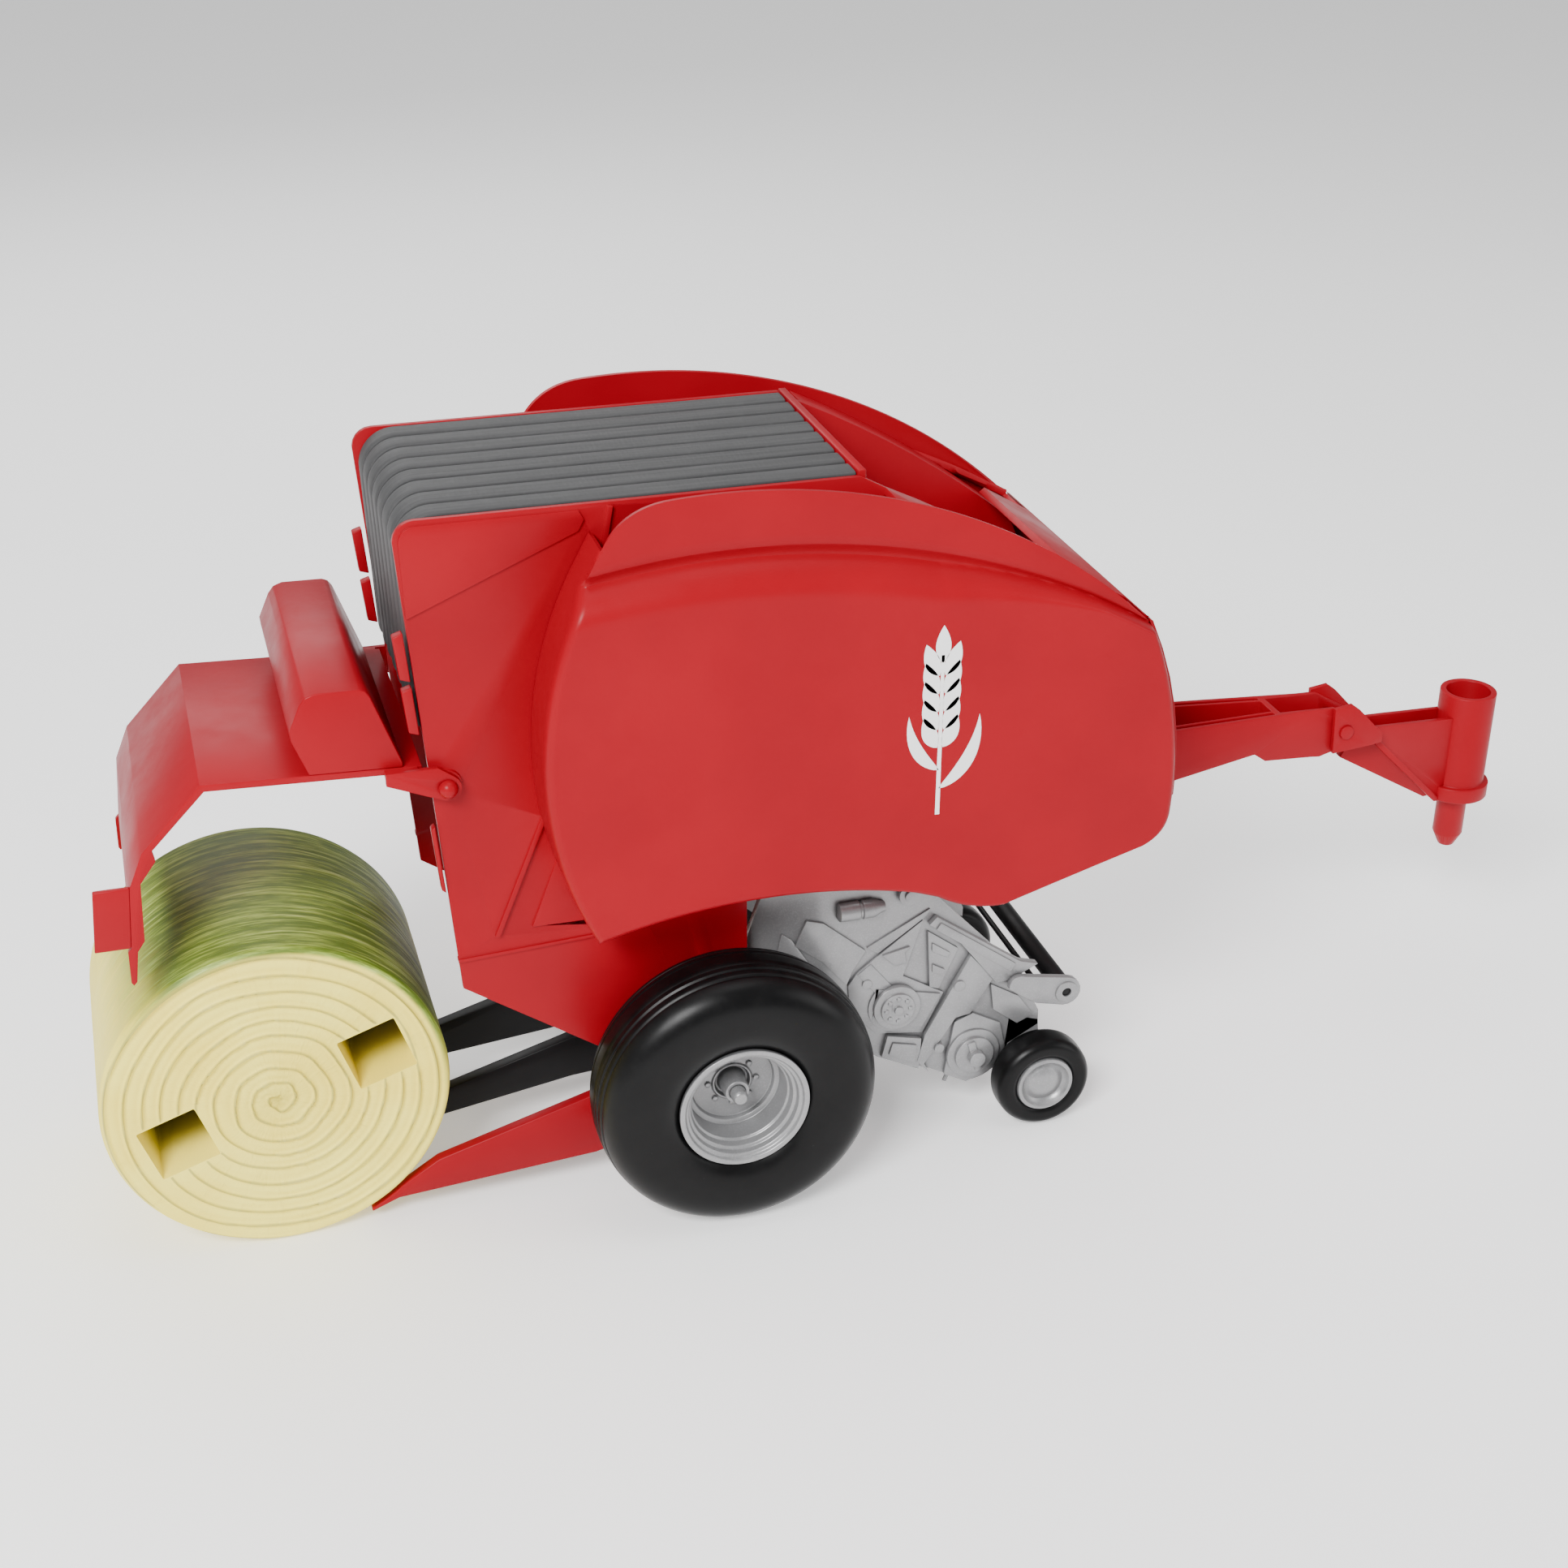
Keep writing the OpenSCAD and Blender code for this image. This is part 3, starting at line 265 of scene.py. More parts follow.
def belt_finish():
    """Grey belting: lengthwise drag marks over a close crosswise weave."""
    paint = Paint("belt_grey")
    drag = paint.noise(60, 4, 0.7, paint.stretched(0.35, 14, 1))
    weave = paint.add("ShaderNodeTexWave", {"wave_type": "BANDS", "bands_direction": "X"},
                      {"Vector": paint.place, "Scale": 260, "Distortion": 0.6, "Detail": 1})
    dust = paint.noise(420, 3, 0.6)
    tone = paint.mix(drag.ramp(0.3, 0.75), (0.036, 0.036, 0.037), (0.056, 0.056, 0.057))
    return paint.finish(
        Base_Color=paint.mix(dust.ramp(0.5, 0.8) * 0.2, tone, (0.09, 0.09, 0.09)),
        Specular_IOR_Level=0.25, Roughness=dust * 0.2 + 0.5,
        Normal=paint.bump(weave + dust * 0.6, 1.5e-5))


def print_finish():
    """White pad print: a thin even ink film, a little broken by the grain under it."""
    paint = Paint("print_white")
    fine = paint.noise(1800, 2, 0.6)
    return paint.finish(
        Base_Color=paint.mix(fine.ramp(0.6, 0.85) * 0.4, (0.86, 0.86, 0.85), (0.74, 0.70, 0.70)),
        Roughness=fine * 0.12 + 0.4, Normal=paint.bump(fine, 4e-6))


TYRE, BELT, PRINT = tyre_finish(), belt_finish(), print_finish()
print("finishes:", [m.name for m in bpy.data.materials])


# %% [markdown]
# ## Building shapes
# Three ways cover nearly everything here. `build` turns points and faces in millimetres into a
# piece. `turned` spins a section about an axle, as a lathe does, for wheels. `soften` takes a
# merged copy of a CAD node and rounds its edges, because no moulded edge is sharp and it is
# the thin highlight along each edge that makes plastic look real.

# %% build, and shading by angle
def show(piece, material, body, smooth=35):
    """Links a finished piece, shades it and says what it rides on."""
    if piece.name not in bpy.context.scene.collection.objects:
        bpy.context.scene.collection.objects.link(piece)
    mesh = piece.data
    mesh.materials.clear()
    mesh.materials.append(material)
    for polygon in mesh.polygons:
        polygon.use_smooth = True
        polygon.material_index = 0
    mesh.set_sharp_from_angle(angle=math.radians(smooth))
    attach(piece, body)
    return piece


def build(name, points, faces, mirror=False):
    """A mesh from points (x, y, z) in millimetres, x from the axle; mirror puts it on +Y."""
    mesh = bpy.data.meshes.new(name)
    side = -1 if mirror else 1
    mesh.from_pydata([(AXLE_X + x * MM, side * y * MM, z * MM) for x, y, z in points], [], faces)
    bm = bmesh.new()
    bm.from_mesh(mesh)
    bmesh.ops.remove_doubles(bm, verts=bm.verts, dist=2e-6)
    bmesh.ops.recalc_face_normals(bm, faces=bm.faces)
    bm.to_mesh(mesh)
    bm.free()
    return bpy.data.objects.new(name, mesh)


def settle(piece):
    """Applies a piece's modifiers, so that only a plain mesh is left."""
    if piece.name not in bpy.context.scene.collection.objects:
        bpy.context.scene.collection.objects.link(piece)
    view = bpy.context.evaluated_depsgraph_get()
    mesh = bpy.data.meshes.new_from_object(piece.evaluated_get(view))
    piece.modifiers.clear()
    piece.data = mesh
    return piece


print("build, settle and show ready")


# %% turned: a section spun about an axle along Y
def turned(name, section, centre, steps=128, mirror=False):
    """section is (radius, depth inward) in millimetres; centre is (x, outer face y, z)."""
    count = len(section)
    points, faces = [], []
    for i in range(steps):
        a = 2 * math.pi * i / steps
        points += [(centre[0] + r * math.cos(a), centre[1] + d, centre[2] + r * math.sin(a))
                   for r, d in section]
    for i in range(steps):
        j = (i + 1) % steps
        faces += [(i * count + k, i * count + (k + 1) % count,
                   j * count + (k + 1) % count, j * count + k) for k in range(count)]
    return build(name, points, faces, mirror)


def rounded(corners, radius, steps=4):
    """A closed outline with every corner rounded; radius is one number or one per corner."""
    outline, count = [], len(corners)
    for i, corner in enumerate(corners):
        r = radius[i] if isinstance(radius, (list, tuple)) else radius
        before, after = Vector(corners[i - 1]), Vector(corners[(i + 1) % count])
        corner = Vector(corner)
        a, b = (before - corner), (after - corner)
        reach = min(r, a.length * 0.45, b.length * 0.45)
        if reach < 1e-6:
            outline.append(tuple(corner))
            continue
        a, b = corner + a.normalized() * reach, corner + b.normalized() * reach
        for k in range(steps + 1):
            t = k / steps
            outline.append(tuple(a * (1 - t) ** 2 + corner * 2 * t * (1 - t) + b * t * t))
    return outline


print("turned and rounded ready")


# %% soften: a rounded-edge copy of a CAD node
def merged(node, name=None):
    """A copy of a CAD node with its loose triangles joined and its flat faces made whole."""
    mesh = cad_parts[node].data.copy()
    bm = bmesh.new()
    bm.from_mesh(mesh)
    bmesh.ops.remove_doubles(bm, verts=bm.verts, dist=3e-6)
    bmesh.ops.dissolve_degenerate(bm, edges=bm.edges, dist=3e-6)
    bmesh.ops.dissolve_limit(bm, angle_limit=math.radians(0.6), verts=bm.verts, edges=bm.edges,
                             delimit={"NORMAL"})
    bm.to_mesh(mesh)
    bm.free()
    return bpy.data.objects.new(name or node + "_moulded", mesh)


def soften(node, material, body, width=0.35, segments=2, angle=32):
    piece = merged(node)
    bevel = piece.modifiers.new("edge", "BEVEL")
    bevel.width = width * MM
    bevel.segments = segments
    bevel.limit_method = "ANGLE"
    bevel.angle_limit = math.radians(angle)
    bevel.miter_outer = "MITER_ARC"
    settle(piece)
    show(piece, material, body)
    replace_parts(piece, node)
    return piece


RED_NODES = {
    "chassis": ["chamber_wall_right", "chamber_wall_left", "front_hood", "belt_crossbar",
                "chamber_front", "rear_clips_right", "rear_clips_left", "axle_housing",
                "drawbar_bracket", "drawbar_beam", "ramp_arm_right"],
    "tailgate": ["gate_panel", "net_box", "gate_handle"],
    "hitch_head": ["hitch_frame", "hitch_tube"],
}
WIDTHS = {"net_box": 0.6, "gate_panel": 0.4, "chamber_wall_right": 0.45, "chamber_wall_left": 0.45}
for body, nodes in RED_NODES.items():
    for node in nodes:
        soften(node, RED, body, WIDTHS.get(node, 0.3))
print("red pieces with rounded edges:", sum(len(n) for n in RED_NODES.values()))


# %% [markdown]
# ## Repeating with Geometry Nodes
# Belts, bolts, tines and stripper bands are one shape again and again. Two small trees repeat
# them: one along a straight row, one around a ring. Both take their count and spacing as named
# inputs, end in Realize Instances and Set Material, and are turned into plain meshes.

# %% A row and a ring of copies
def repeater(name, ring):
    """A node tree that repeats an object along Step, or around Y at Radius."""
    tree = bpy.data.node_groups.new(name, "GeometryNodeTree")
    tree.interface.new_socket("Geometry", in_out="OUTPUT", socket_type="NodeSocketGeometry")
    inputs = [("Geometry", "NodeSocketGeometry"), ("Shape", "NodeSocketObject"),
              ("Count", "NodeSocketInt"), ("Finish", "NodeSocketMaterial"),
              ("Start", "NodeSocketVector")]
    inputs.append(("Radius", "NodeSocketFloat") if ring else ("Step", "NodeSocketVector"))
    for label, kind in inputs:
        tree.interface.new_socket(label, in_out="INPUT", socket_type=kind)
    nodes, link = tree.nodes, tree.links.new
    given, result = nodes.new("NodeGroupInput"), nodes.new("NodeGroupOutput")
    shape = nodes.new("GeometryNodeObjectInfo")
    link(given.outputs["Shape"], shape.inputs["Object"])
    copies = nodes.new("GeometryNodeInstanceOnPoints")
    link(shape.outputs["Geometry"], copies.inputs["Instance"])
    if ring:
        points = nodes.new("GeometryNodeMeshCircle")
        link(given.outputs["Count"], points.inputs["Vertices"])
        link(given.outputs["Radius"], points.inputs["Radius"])
        upright = nodes.new("GeometryNodeTransform")
        upright.inputs["Rotation"].default_value = (math.pi / 2, 0, 0)
        link(points.outputs["Mesh"], upright.inputs["Geometry"])
        link(given.outputs["Start"], upright.inputs["Translation"])
        link(upright.outputs["Geometry"], copies.inputs["Points"])
    else:
        points = nodes.new("GeometryNodeMeshLine")
        link(given.outputs["Count"], points.inputs["Count"])
        link(given.outputs["Start"], points.inputs["Start Location"])
        link(given.outputs["Step"], points.inputs["Offset"])
        link(points.outputs["Mesh"], copies.inputs["Points"])
    real = nodes.new("GeometryNodeRealizeInstances")
    finish = nodes.new("GeometryNodeSetMaterial")
    link(copies.outputs["Instances"], real.inputs["Geometry"])
    link(real.outputs["Geometry"], finish.inputs["Geometry"])
    link(given.outputs["Finish"], finish.inputs["Material"])
    link(finish.outputs["Geometry"], result.inputs["Geometry"])
    return tree


ROW, RING = repeater("row", False), repeater("ring", True)


def repeated(name, tree, shape, material, body, count, start, spread, smooth=35):
    """spread is the row's step or the ring's radius; start and spread are in metres."""
    mesh = bpy.data.meshes.new(name)
    piece = bpy.data.objects.new(name, mesh)
    bpy.context.scene.collection.objects.link(piece)
    modifier = piece.modifiers.new("repeat", "NODES")
    modifier.node_group = tree
    given = {"Shape": shape, "Count": count, "Finish": material, "Start": start}
    given["Radius" if tree is RING else "Step"] = spread
    for item in tree.interface.items_tree:
        if item.in_out == "INPUT" and item.name in given:
            modifier[item.identifier] = given[item.name]
    piece.update_tag()
    bpy.context.view_layer.update()
    settle(piece)
    bpy.data.objects.remove(shape)
    return show(piece, material, body, smooth)


print("repeaters:", ROW.name, RING.name)


# %% [markdown]
# ## Side covers
# Each cover is one shell: a flat crescent along its top, then a shallow gutter, then a face
# that swells outwards and rolls over at its rear, lower and front edges. The shape follows a
# rule, so it is a grid of points: the side-view outline is filled with a Coons patch, and the
# depth of each point comes from how far it lies below the crease and inside the edges.

# %% Arcs and sampled lines in side view
BODY_TOP = 187.8
COVER_FACE = 46.9
COVER_SWELL = 4.2
WALL_FACE = 34.3
SHELL = 1.5


def arc3(a, b, c, n):
    """n + 1 points from a to c on the circle that also passes through b."""
    (ax, az), (bx, bz), (cx, cz) = a, b, c
    d = 2 * (ax * (bz - cz) + bx * (cz - az) + cx * (az - bz))
    a2, b2, c2 = ax * ax + az * az, bx * bx + bz * bz, cx * cx + cz * cz
    ox = (a2 * (bz - cz) + b2 * (cz - az) + c2 * (az - bz)) / d
    oz = (a2 * (cx - bx) + b2 * (ax - cx) + c2 * (bx - ax)) / d
    r = math.hypot(ax - ox, az - oz)
    t0 = math.atan2(az - oz, ax - ox)
    to_b = (math.atan2(bz - oz, bx - ox) - t0) % (2 * math.pi)
    to_c = (math.atan2(cz - oz, cx - ox) - t0) % (2 * math.pi)
    sweep = to_c if to_b < to_c else to_c - 2 * math.pi
    return [(ox + r * math.cos(t0 + sweep * i / n), oz + r * math.sin(t0 + sweep * i / n))
            for i in range(n + 1)]


def quadratic(a, b, c, t):
    """A point on the curve that leaves a towards b and reaches c from b."""
    return tuple(p * (1 - t) ** 2 + q * 2 * t * (1 - t) + r * t * t for p, q, r in zip(a, b, c))


def along(line, t):
    """The point a share t of the way along a polyline."""
    steps = [math.dist(p, q) for p, q in zip(line, line[1:])]
    goal = t * sum(steps)
    for p, q, step in zip(line, line[1:], steps):
        if goal <= step or (p, q) == (line[-2], line[-1]):
            s = goal / step
            return (p[0] + (q[0] - p[0]) * s, p[1] + (q[1] - p[1]) * s)
        goal -= step


NOTCH, REAR_TOP = (-32.2, BODY_TOP - 12.4), (-24.4, BODY_TOP + 2.2)
NOSE, CHIN, HEEL = (104.8, BODY_TOP - 38.9), (113.0, 91.1), (-33.2, 83.3)
REAR_FOOT = (NOTCH[0] + 0.4 * (REAR_TOP[0] - NOTCH[0]), NOTCH[1] + 0.4 * (REAR_TOP[1] - NOTCH[1]))
TOP_ARC = arc3(REAR_TOP, (27, BODY_TOP + 1.4), NOSE, 96)
TOP_LINE = [quadratic(REAR_FOOT, REAR_TOP, TOP_ARC[7], k / 14) for k in range(14)] + TOP_ARC[7:]
CREASE = arc3(NOTCH, (26, BODY_TOP - 10.6), NOSE, 48)
FRONT_ARC = arc3(NOSE, (113.4, BODY_TOP - 72), CHIN, 48)
CHIN_FOOT = (106.5, 89.2)
FRONT_LINE = FRONT_ARC[:43] + [quadratic(FRONT_ARC[43], CHIN, CHIN_FOOT, k / 12) for k in range(13)]
REAR_LINE = arc3(NOTCH, (-44.4, 128), HEEL, 32)
BOTTOM_LINE = (arc3(HEEL, (12, 89.2), (46, 84.6), 24)
               + arc3((52, 82.4), (61, 78.4), (69, 77.4), 6) + [CHIN_FOOT])
print("crease runs", CREASE[0], "to", CREASE[-1])


# %% The cover's grid
def crowded(i, n, pull=0.72):
    """i of n shares, closer together at both ends."""
    t = i / n
    return t - pull / (2 * math.pi) * math.sin(2 * math.pi * t)


def coons(u, v):
    c, b, r, f = along(CREASE, u), along(BOTTOM_LINE, u), along(REAR_LINE, v), along(FRONT_LINE, v)
    return tuple(
        (1 - v) * c[k] + v * b[k] + (1 - u) * r[k] + u * f[k]
        - ((1 - u) * (1 - v) * NOTCH[k] + u * (1 - v) * NOSE[k]
           + (1 - u) * v * HEEL[k] + u * v * CHIN_FOOT[k]) for k in (0, 1))


def swell(below, reach):
    """Depth a distance below the crease: down into the gutter, then out to the full swell."""
    gutter, rise, dip = 3.0 * reach, 8.5 * reach, 1.5 * reach
    if below < gutter:
        return -dip * math.sin(math.pi / 2 * below / gutter)
    t = min(1, (below - gutter) / rise)
    return -dip + (COVER_SWELL + dip) * (1 - (1 - t) ** 2.2)


def rolled(inside, radius=2.2):
    """How far the face has rolled back a distance inside its edge."""
    if inside >= radius:
        return 0
    return radius - math.sqrt(max(0, radius ** 2 - (radius - inside) ** 2))


COLUMNS, ROWS, BAND_ROWS = 150, 96, 5


def cover_point(i, j):
    u, v = crowded(i, COLUMNS), crowded(j, ROWS)
    x, z = coons(u, v)
    above = along(CREASE, u)
    reach = min(1, max(0.25, (NOSE[0] - x) / 55))
    depth = swell(above[1] - z, reach)
    edge = min(u * 150, (1 - u) * 150, (1 - v) * 92)
    fade = min(1, (above[1] - z) / 3)
    return (x, -(COVER_FACE + depth - rolled(edge) * fade), z)


def side_cover(side):
    points, faces = [], []
    for i in range(COLUMNS + 1):
        u = crowded(i, COLUMNS)
        top, crease = along(TOP_LINE, u), along(CREASE, u)
        for k in range(BAND_ROWS):
            t = k / BAND_ROWS
            points.append((top[0] + (crease[0] - top[0]) * t, -COVER_FACE + 0.25 * (1 - t) ** 4,
                           top[1] + (crease[1] - top[1]) * t))
        points += [cover_point(i, j) for j in range(ROWS + 1)]
    height = BAND_ROWS + ROWS + 1
    for i in range(COLUMNS):
        for j in range(height - 1):
            a = i * height + j
            faces.append((a, a + 1, a + height + 1, a + height))
    rim = ([j for j in range(height)] + [i * height + height - 1 for i in range(1, COLUMNS + 1)]
           + [COLUMNS * height + j for j in range(height - 2, BAND_ROWS - 1, -1)])
    depth_steps = 8
    for k in range(1, depth_steps + 1):
        for a in rim:
            x, y, z = points[a]
            points.append((x, y + (-WALL_FACE - y) * k / depth_steps, z))
    rows = [rim] + [[len(points) - len(rim) * (depth_steps - k) + m for m in range(len(rim))]
                    for k in range(depth_steps)]
    for near, far in zip(rows, rows[1:]):
        faces += [(near[m], near[m + 1], far[m + 1], far[m]) for m in range(len(rim) - 1)]
    piece = build("side_cover_shell_" + side, points, faces, side == "left")
    outward = sum(p.normal.y * p.area for p in piece.data.polygons)
    if (outward > 0) == (side == "right"):
        piece.data.flip_normals()
    wall = piece.modifiers.new("wall", "SOLIDIFY")
    wall.thickness, wall.offset = 1.2 * MM, -1
    settle(piece)
    show(piece, RED, "chassis", 50)
    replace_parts(piece, "side_cover_" + side)
    return piece


for side in ("right", "left"):
    cover = side_cover(side)
    print(cover.name, len(cover.data.polygons), "faces")


# %% [markdown]
# ## Printed wheat ear
# The big flat of each cover carries a white pad print. A plain ear of wheat stands here: a
# stem, pairs of kernels repeated up it by the row tree, one kernel on top and two leaves.
# It is a film a tenth of a millimetre thick on the face.

# %% Leaf shapes and the ear
PRINT_AT = (50.5, 109.5)
PRINT_FACE = COVER_FACE + COVER_SWELL


def leaf(start, length, width, angle, bend=0.0, n=14):
    """A pointed leaf outline that leaves start at an angle from straight up."""
    left, right = [], []
    for i in range(n + 1):
        t = i / n
        turn_by = math.radians(angle + bend * t)
        x = start[0] + length * t * math.sin(turn_by)
        z = start[1] + length * t * math.cos(turn_by)
        half = width / 2 * math.sin(math.pi * t ** 0.85) ** 0.9 if 0 < t < 1 else 0
        left.append((x - half * math.cos(turn_by), z + half * math.sin(turn_by)))
        right.append((x + half * math.cos(turn_by), z - half * math.sin(turn_by)))
    return left + right[-2:0:-1]


def prisms(name, outlines, mirror=False):
    """One mesh of straight prisms; each outline comes with its inner and outer |y|."""
    points, faces = [], []
    for outline, inner, outer in outlines:
        n, base = len(outline), len(points)
        points += [(x, -inner, z) for x, z in outline] + [(x, -outer, z) for x, z in outline]
        faces += [tuple(range(base, base + n)), tuple(range(base + 2 * n - 1, base + n - 1, -1))]
        faces += [(base + i, base + (i + 1) % n, base + n + (i + 1) % n, base + n + i)
                  for i in range(n)]
    return build(name, points, faces, mirror)


def wheat_ear(side):
    x, z = PRINT_AT
    film = (PRINT_FACE - 0.1, PRINT_FACE + 0.1)
    mirror = side == "left"
    single = [(leaf((x, z + 37), 9.5, 3.8, 0), *film),
              (leaf((x, z + 4), 21, 3.6, 62, -34), *film),
              (leaf((x, z + 9), 17, 3.2, -60, 32), *film),
              ([(x - 0.55, z - 3), (x + 0.55, z - 3), (x + 0.4, z + 39), (x - 0.4, z + 39)], *film)]
    piece = show(prisms("wheat_print_" + side, single, mirror), PRINT, "chassis")
    pair = prisms("kernel_pair", [(leaf((x + 0.7, z + 15), 9, 3.9, 33, -10), *film),
                                  (leaf((x - 0.7, z + 15), 9, 3.9, -33, 10), *film)], mirror)
    kernels = repeated("wheat_kernels_" + side, ROW, pair, PRINT, "chassis",
                       5, (0, 0, 0), (0, 0, 4.7 * MM))
    return piece, kernels


for side in ("right", "left"):
    print([p.name for p in wheat_ear(side)])


# %% [markdown]
# ## Belts
# Eight flat belts run over the top of the chamber and turn down at the back. One belt is a
# strip with a slightly crowned section, swept along its path, and the row tree lays eight side
# by side over the black bed.

# %% One belt, then eight
def sweep_belt(width=6.7, thick=0.8, turn_r=9.0, centre=(-62.8, 179.2)):
    top = centre[1] + turn_r
    path = [(34.8 - (34.8 - centre[0]) * i / 30, top, 0.0, 1.0) for i in range(30)]
    for i in range(15):
        a = math.radians(90 + 94 * i / 14)
        path.append((centre[0] + turn_r * math.cos(a), centre[1] + turn_r * math.sin(a),
                     math.cos(a), math.sin(a)))
    end = (-70.2, 137.2)
    last = path[-1]
    path += [(last[0] + (end[0] - last[0]) * i / 8, last[1] + (end[1] - last[1]) * i / 8,
              last[2], last[3]) for i in range(1, 9)]
    half = width / 2
    section = [(-half, -thick), (-half, -0.5), (-half + 0.15, -0.26), (-half + 0.6, -0.08),
               (-half * 0.5, 0), (0, 0.03), (half * 0.5, 0), (half - 0.6, -0.08),
               (half - 0.15, -0.26), (half, -0.5), (half, -thick)]
    points = [(x + nx * h, y, z + nz * h) for x, z, nx, nz in path for y, h in section]
    n, faces = len(section), []
    for i in range(len(path) - 1):
        faces += [(i * n + k, i * n + (k + 1) % n, (i + 1) * n + (k + 1) % n, (i + 1) * n + k)
                  for k in range(n)]
    faces += [tuple(range(n)), tuple(range(len(points) - 1, len(points) - n - 1, -1))]
    return build("belt", points, faces)


BELT_PITCH = 8.0
belts = repeated("belts_running", ROW, sweep_belt(), BELT, "chassis", 8,
                 (0, -3.5 * BELT_PITCH * MM, 0), (0, BELT_PITCH * MM, 0))
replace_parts(belts, "belts")
print(belts.name, len(belts.data.polygons), "faces")


# %% [markdown]
# ## Main wheels
# The tyre is a fat balloon: a superellipse section, with three fine tread lines on its
# shoulders. The rim is silver, with a bright lip, stepped rings down a deep barrel, and a disc
# with eight bolt heads round a dished middle.

# %% Tyre and rim sections
WHEEL_R, WHEEL_W, RIM_R, WHEEL_OUT = 36.0, 25.0, 16.0, 60.5


def tyre_section(steps=170):
    mid_r = (WHEEL_R + RIM_R) / 2 - 1
    tall, wide, power = WHEEL_R - mid_r, WHEEL_W / 2, 0.74
    low = math.asin(((mid_r - RIM_R + 0.2) / tall) ** (1 / power))
    section = []
    for i in range(steps + 1):
        a = -low + (math.pi + 2 * low) * i / steps
        s, c = math.sin(a), math.cos(a)
        r = mid_r + tall * math.copysign(abs(s) ** power, s)
        depth = wide - wide * math.copysign(abs(c) ** power, c)
        if r > mid_r:
            for line in (6.2, 8.6, 11.0, WHEEL_W - 8.6, WHEEL_W - 6.2):
                r -= 0.42 * math.exp(-((depth - line) / 0.26) ** 2)
        section.append((r, depth))
    return section


def rim_section():
    r = RIM_R - 0.25
    corners = [
        (r, WHEEL_W - 2.2), (r, 3), (r + 0.9, 2.4), (r + 0.9, 1.2), (r - 0.4, 1.2),
        (r - 0.8, 2.2), (r - 1.6, 2.4), (r - 1.8, 4.0), (r - 2.6, 4.2), (r - 2.9, 6.2),
        (r - 3.5, 6.5), (r - 3.7, 12.4), (r - 5.0, 12.6), (r - 5.2, 14), (5.3, 14), (5.1, 13.4),
        (4.6, 13.4), (4.3, 14.8), (3.6, 14.8), (3.1, 8.5), (2.06, 8.5), (2.06, WHEEL_W - 1),
        (3.6, WHEEL_W - 1), (3.6, 17.4), (r - 1.8, 17.4), (r - 1.8, WHEEL_W - 2.2)]
    return rounded(corners, 0.28, 3)


def bolt_head(name, x, y, z, r, height, corners=20, mirror=False):
    """A round head whose rim is rolled over; it stands out from |y| towards the outside."""
    section = [(r, 0), (r, height * 0.6), (r * 0.9, height * 0.9), (r * 0.6, height)]
    points, faces, n = [], [], len(section)
    for i in range(corners):
        a = 2 * math.pi * i / corners
        points += [(x + q * math.cos(a), y - h, z + q * math.sin(a)) for q, h in section]
    for i in range(corners):
        j = (i + 1) % corners
        faces += [(i * n + k, i * n + k + 1, j * n + k + 1, j * n + k) for k in range(n - 1)]
    faces += [tuple(i * n for i in range(corners)),
              tuple(i * n + n - 1 for i in range(corners))]
    return build(name, points, faces, mirror)


for side in ("right", "left"):
    left, body = side == "left", "wheel_" + side
    tyre = turned("balloon_tyre_" + side, tyre_section(), (0, -WHEEL_OUT, AXLE_Z * 1000),
                  144, left)
    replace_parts(show(tyre, TYRE, body), "tyre_" + side)
    rim = turned("deep_rim_" + side, rim_section(), (0, -WHEEL_OUT, AXLE_Z * 1000), 128, left)
    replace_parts(show(rim, SILVER, body), "rim_" + side)
    head = bolt_head("head", 0, -WHEEL_OUT + 14.2, 0, 0.75, 0.9, mirror=left)
    head.data.transform(Matrix.Translation((-AXLE_X, 0, 0)))
    bolts = repeated("rim_bolts_" + side, RING, head, SILVER, body, 8,
                     (AXLE_X, 0, AXLE_Z), 6.3 * MM)
    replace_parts(bolts, "wheel_bolts_" + side)
    print(tyre.name, len(tyre.data.polygons), rim.name, len(rim.data.polygons))


# %% [markdown]
# ## Gauge wheels
# The two little wheels beside the pickup are satin black rings on silver hubs: a rolled lip, a
# groove inside it and a domed middle.

# %% Gauge tyres and hubs
GAUGE_X, GAUGE_R, GAUGE_W, GAUGE_FACE = 89.0, 13.2, 9.2, 40.5


def gauge_sections():
    r, w = GAUGE_R, GAUGE_W
    tyre = rounded([(8, w), (8, 0.8), (9, 0.1), (r - 1.6, 0), (r - 0.2, 1.6), (r, 4),
                    (r, w - 2), (r - 1.4, w)], [0, 0.3, 0.5, 1.6, 1.6, 1.6, 1.6, 1.2], 6)
    hub = [(7.97, w), (7.97, 0.6), (7.7, 0.15), (7.2, 0), (6.8, 0.15), (6.5, 0.7), (6.1, 1.5),
           (5.5, 1.9), (4.9, 1.75), (4.4, 1.3), (3.6, 0.85), (2.6, 0.5), (1.6, 0.3), (0.8, 0.22),
           (0.05, 0.2), (0.05, 1.2), (1.55, 1.3), (1.55, w)]
    return tyre, hub


tyre_ring, hub_ring = gauge_sections()
for side in ("right", "left"):
    left, body = side == "left", "gauge_wheel_" + side
    centre = (GAUGE_X, -GAUGE_FACE, GAUGE_R)
    tyre = turned("gauge_ring_" + side, tyre_ring, centre, 112, left)
    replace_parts(show(tyre, TYRE, body), "gauge_tyre_" + side)
    hub = turned("gauge_dome_" + side, hub_ring, centre, 96, left)
    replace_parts(show(hub, SILVER, body), "gauge_hub_" + side)
    print(tyre.name, hub.name)


# %% [markdown]
# ## Bale
# The bale is a moulded drum that imitates rolled straw. Each face has one long spiral groove
# from the middle to the rim, and the round side has the fine lines of the wrapping net. The
# whole skin is one grid, profile by angle, and every point is pushed along its own normal.
# Two square fork holes are then cut right through it.

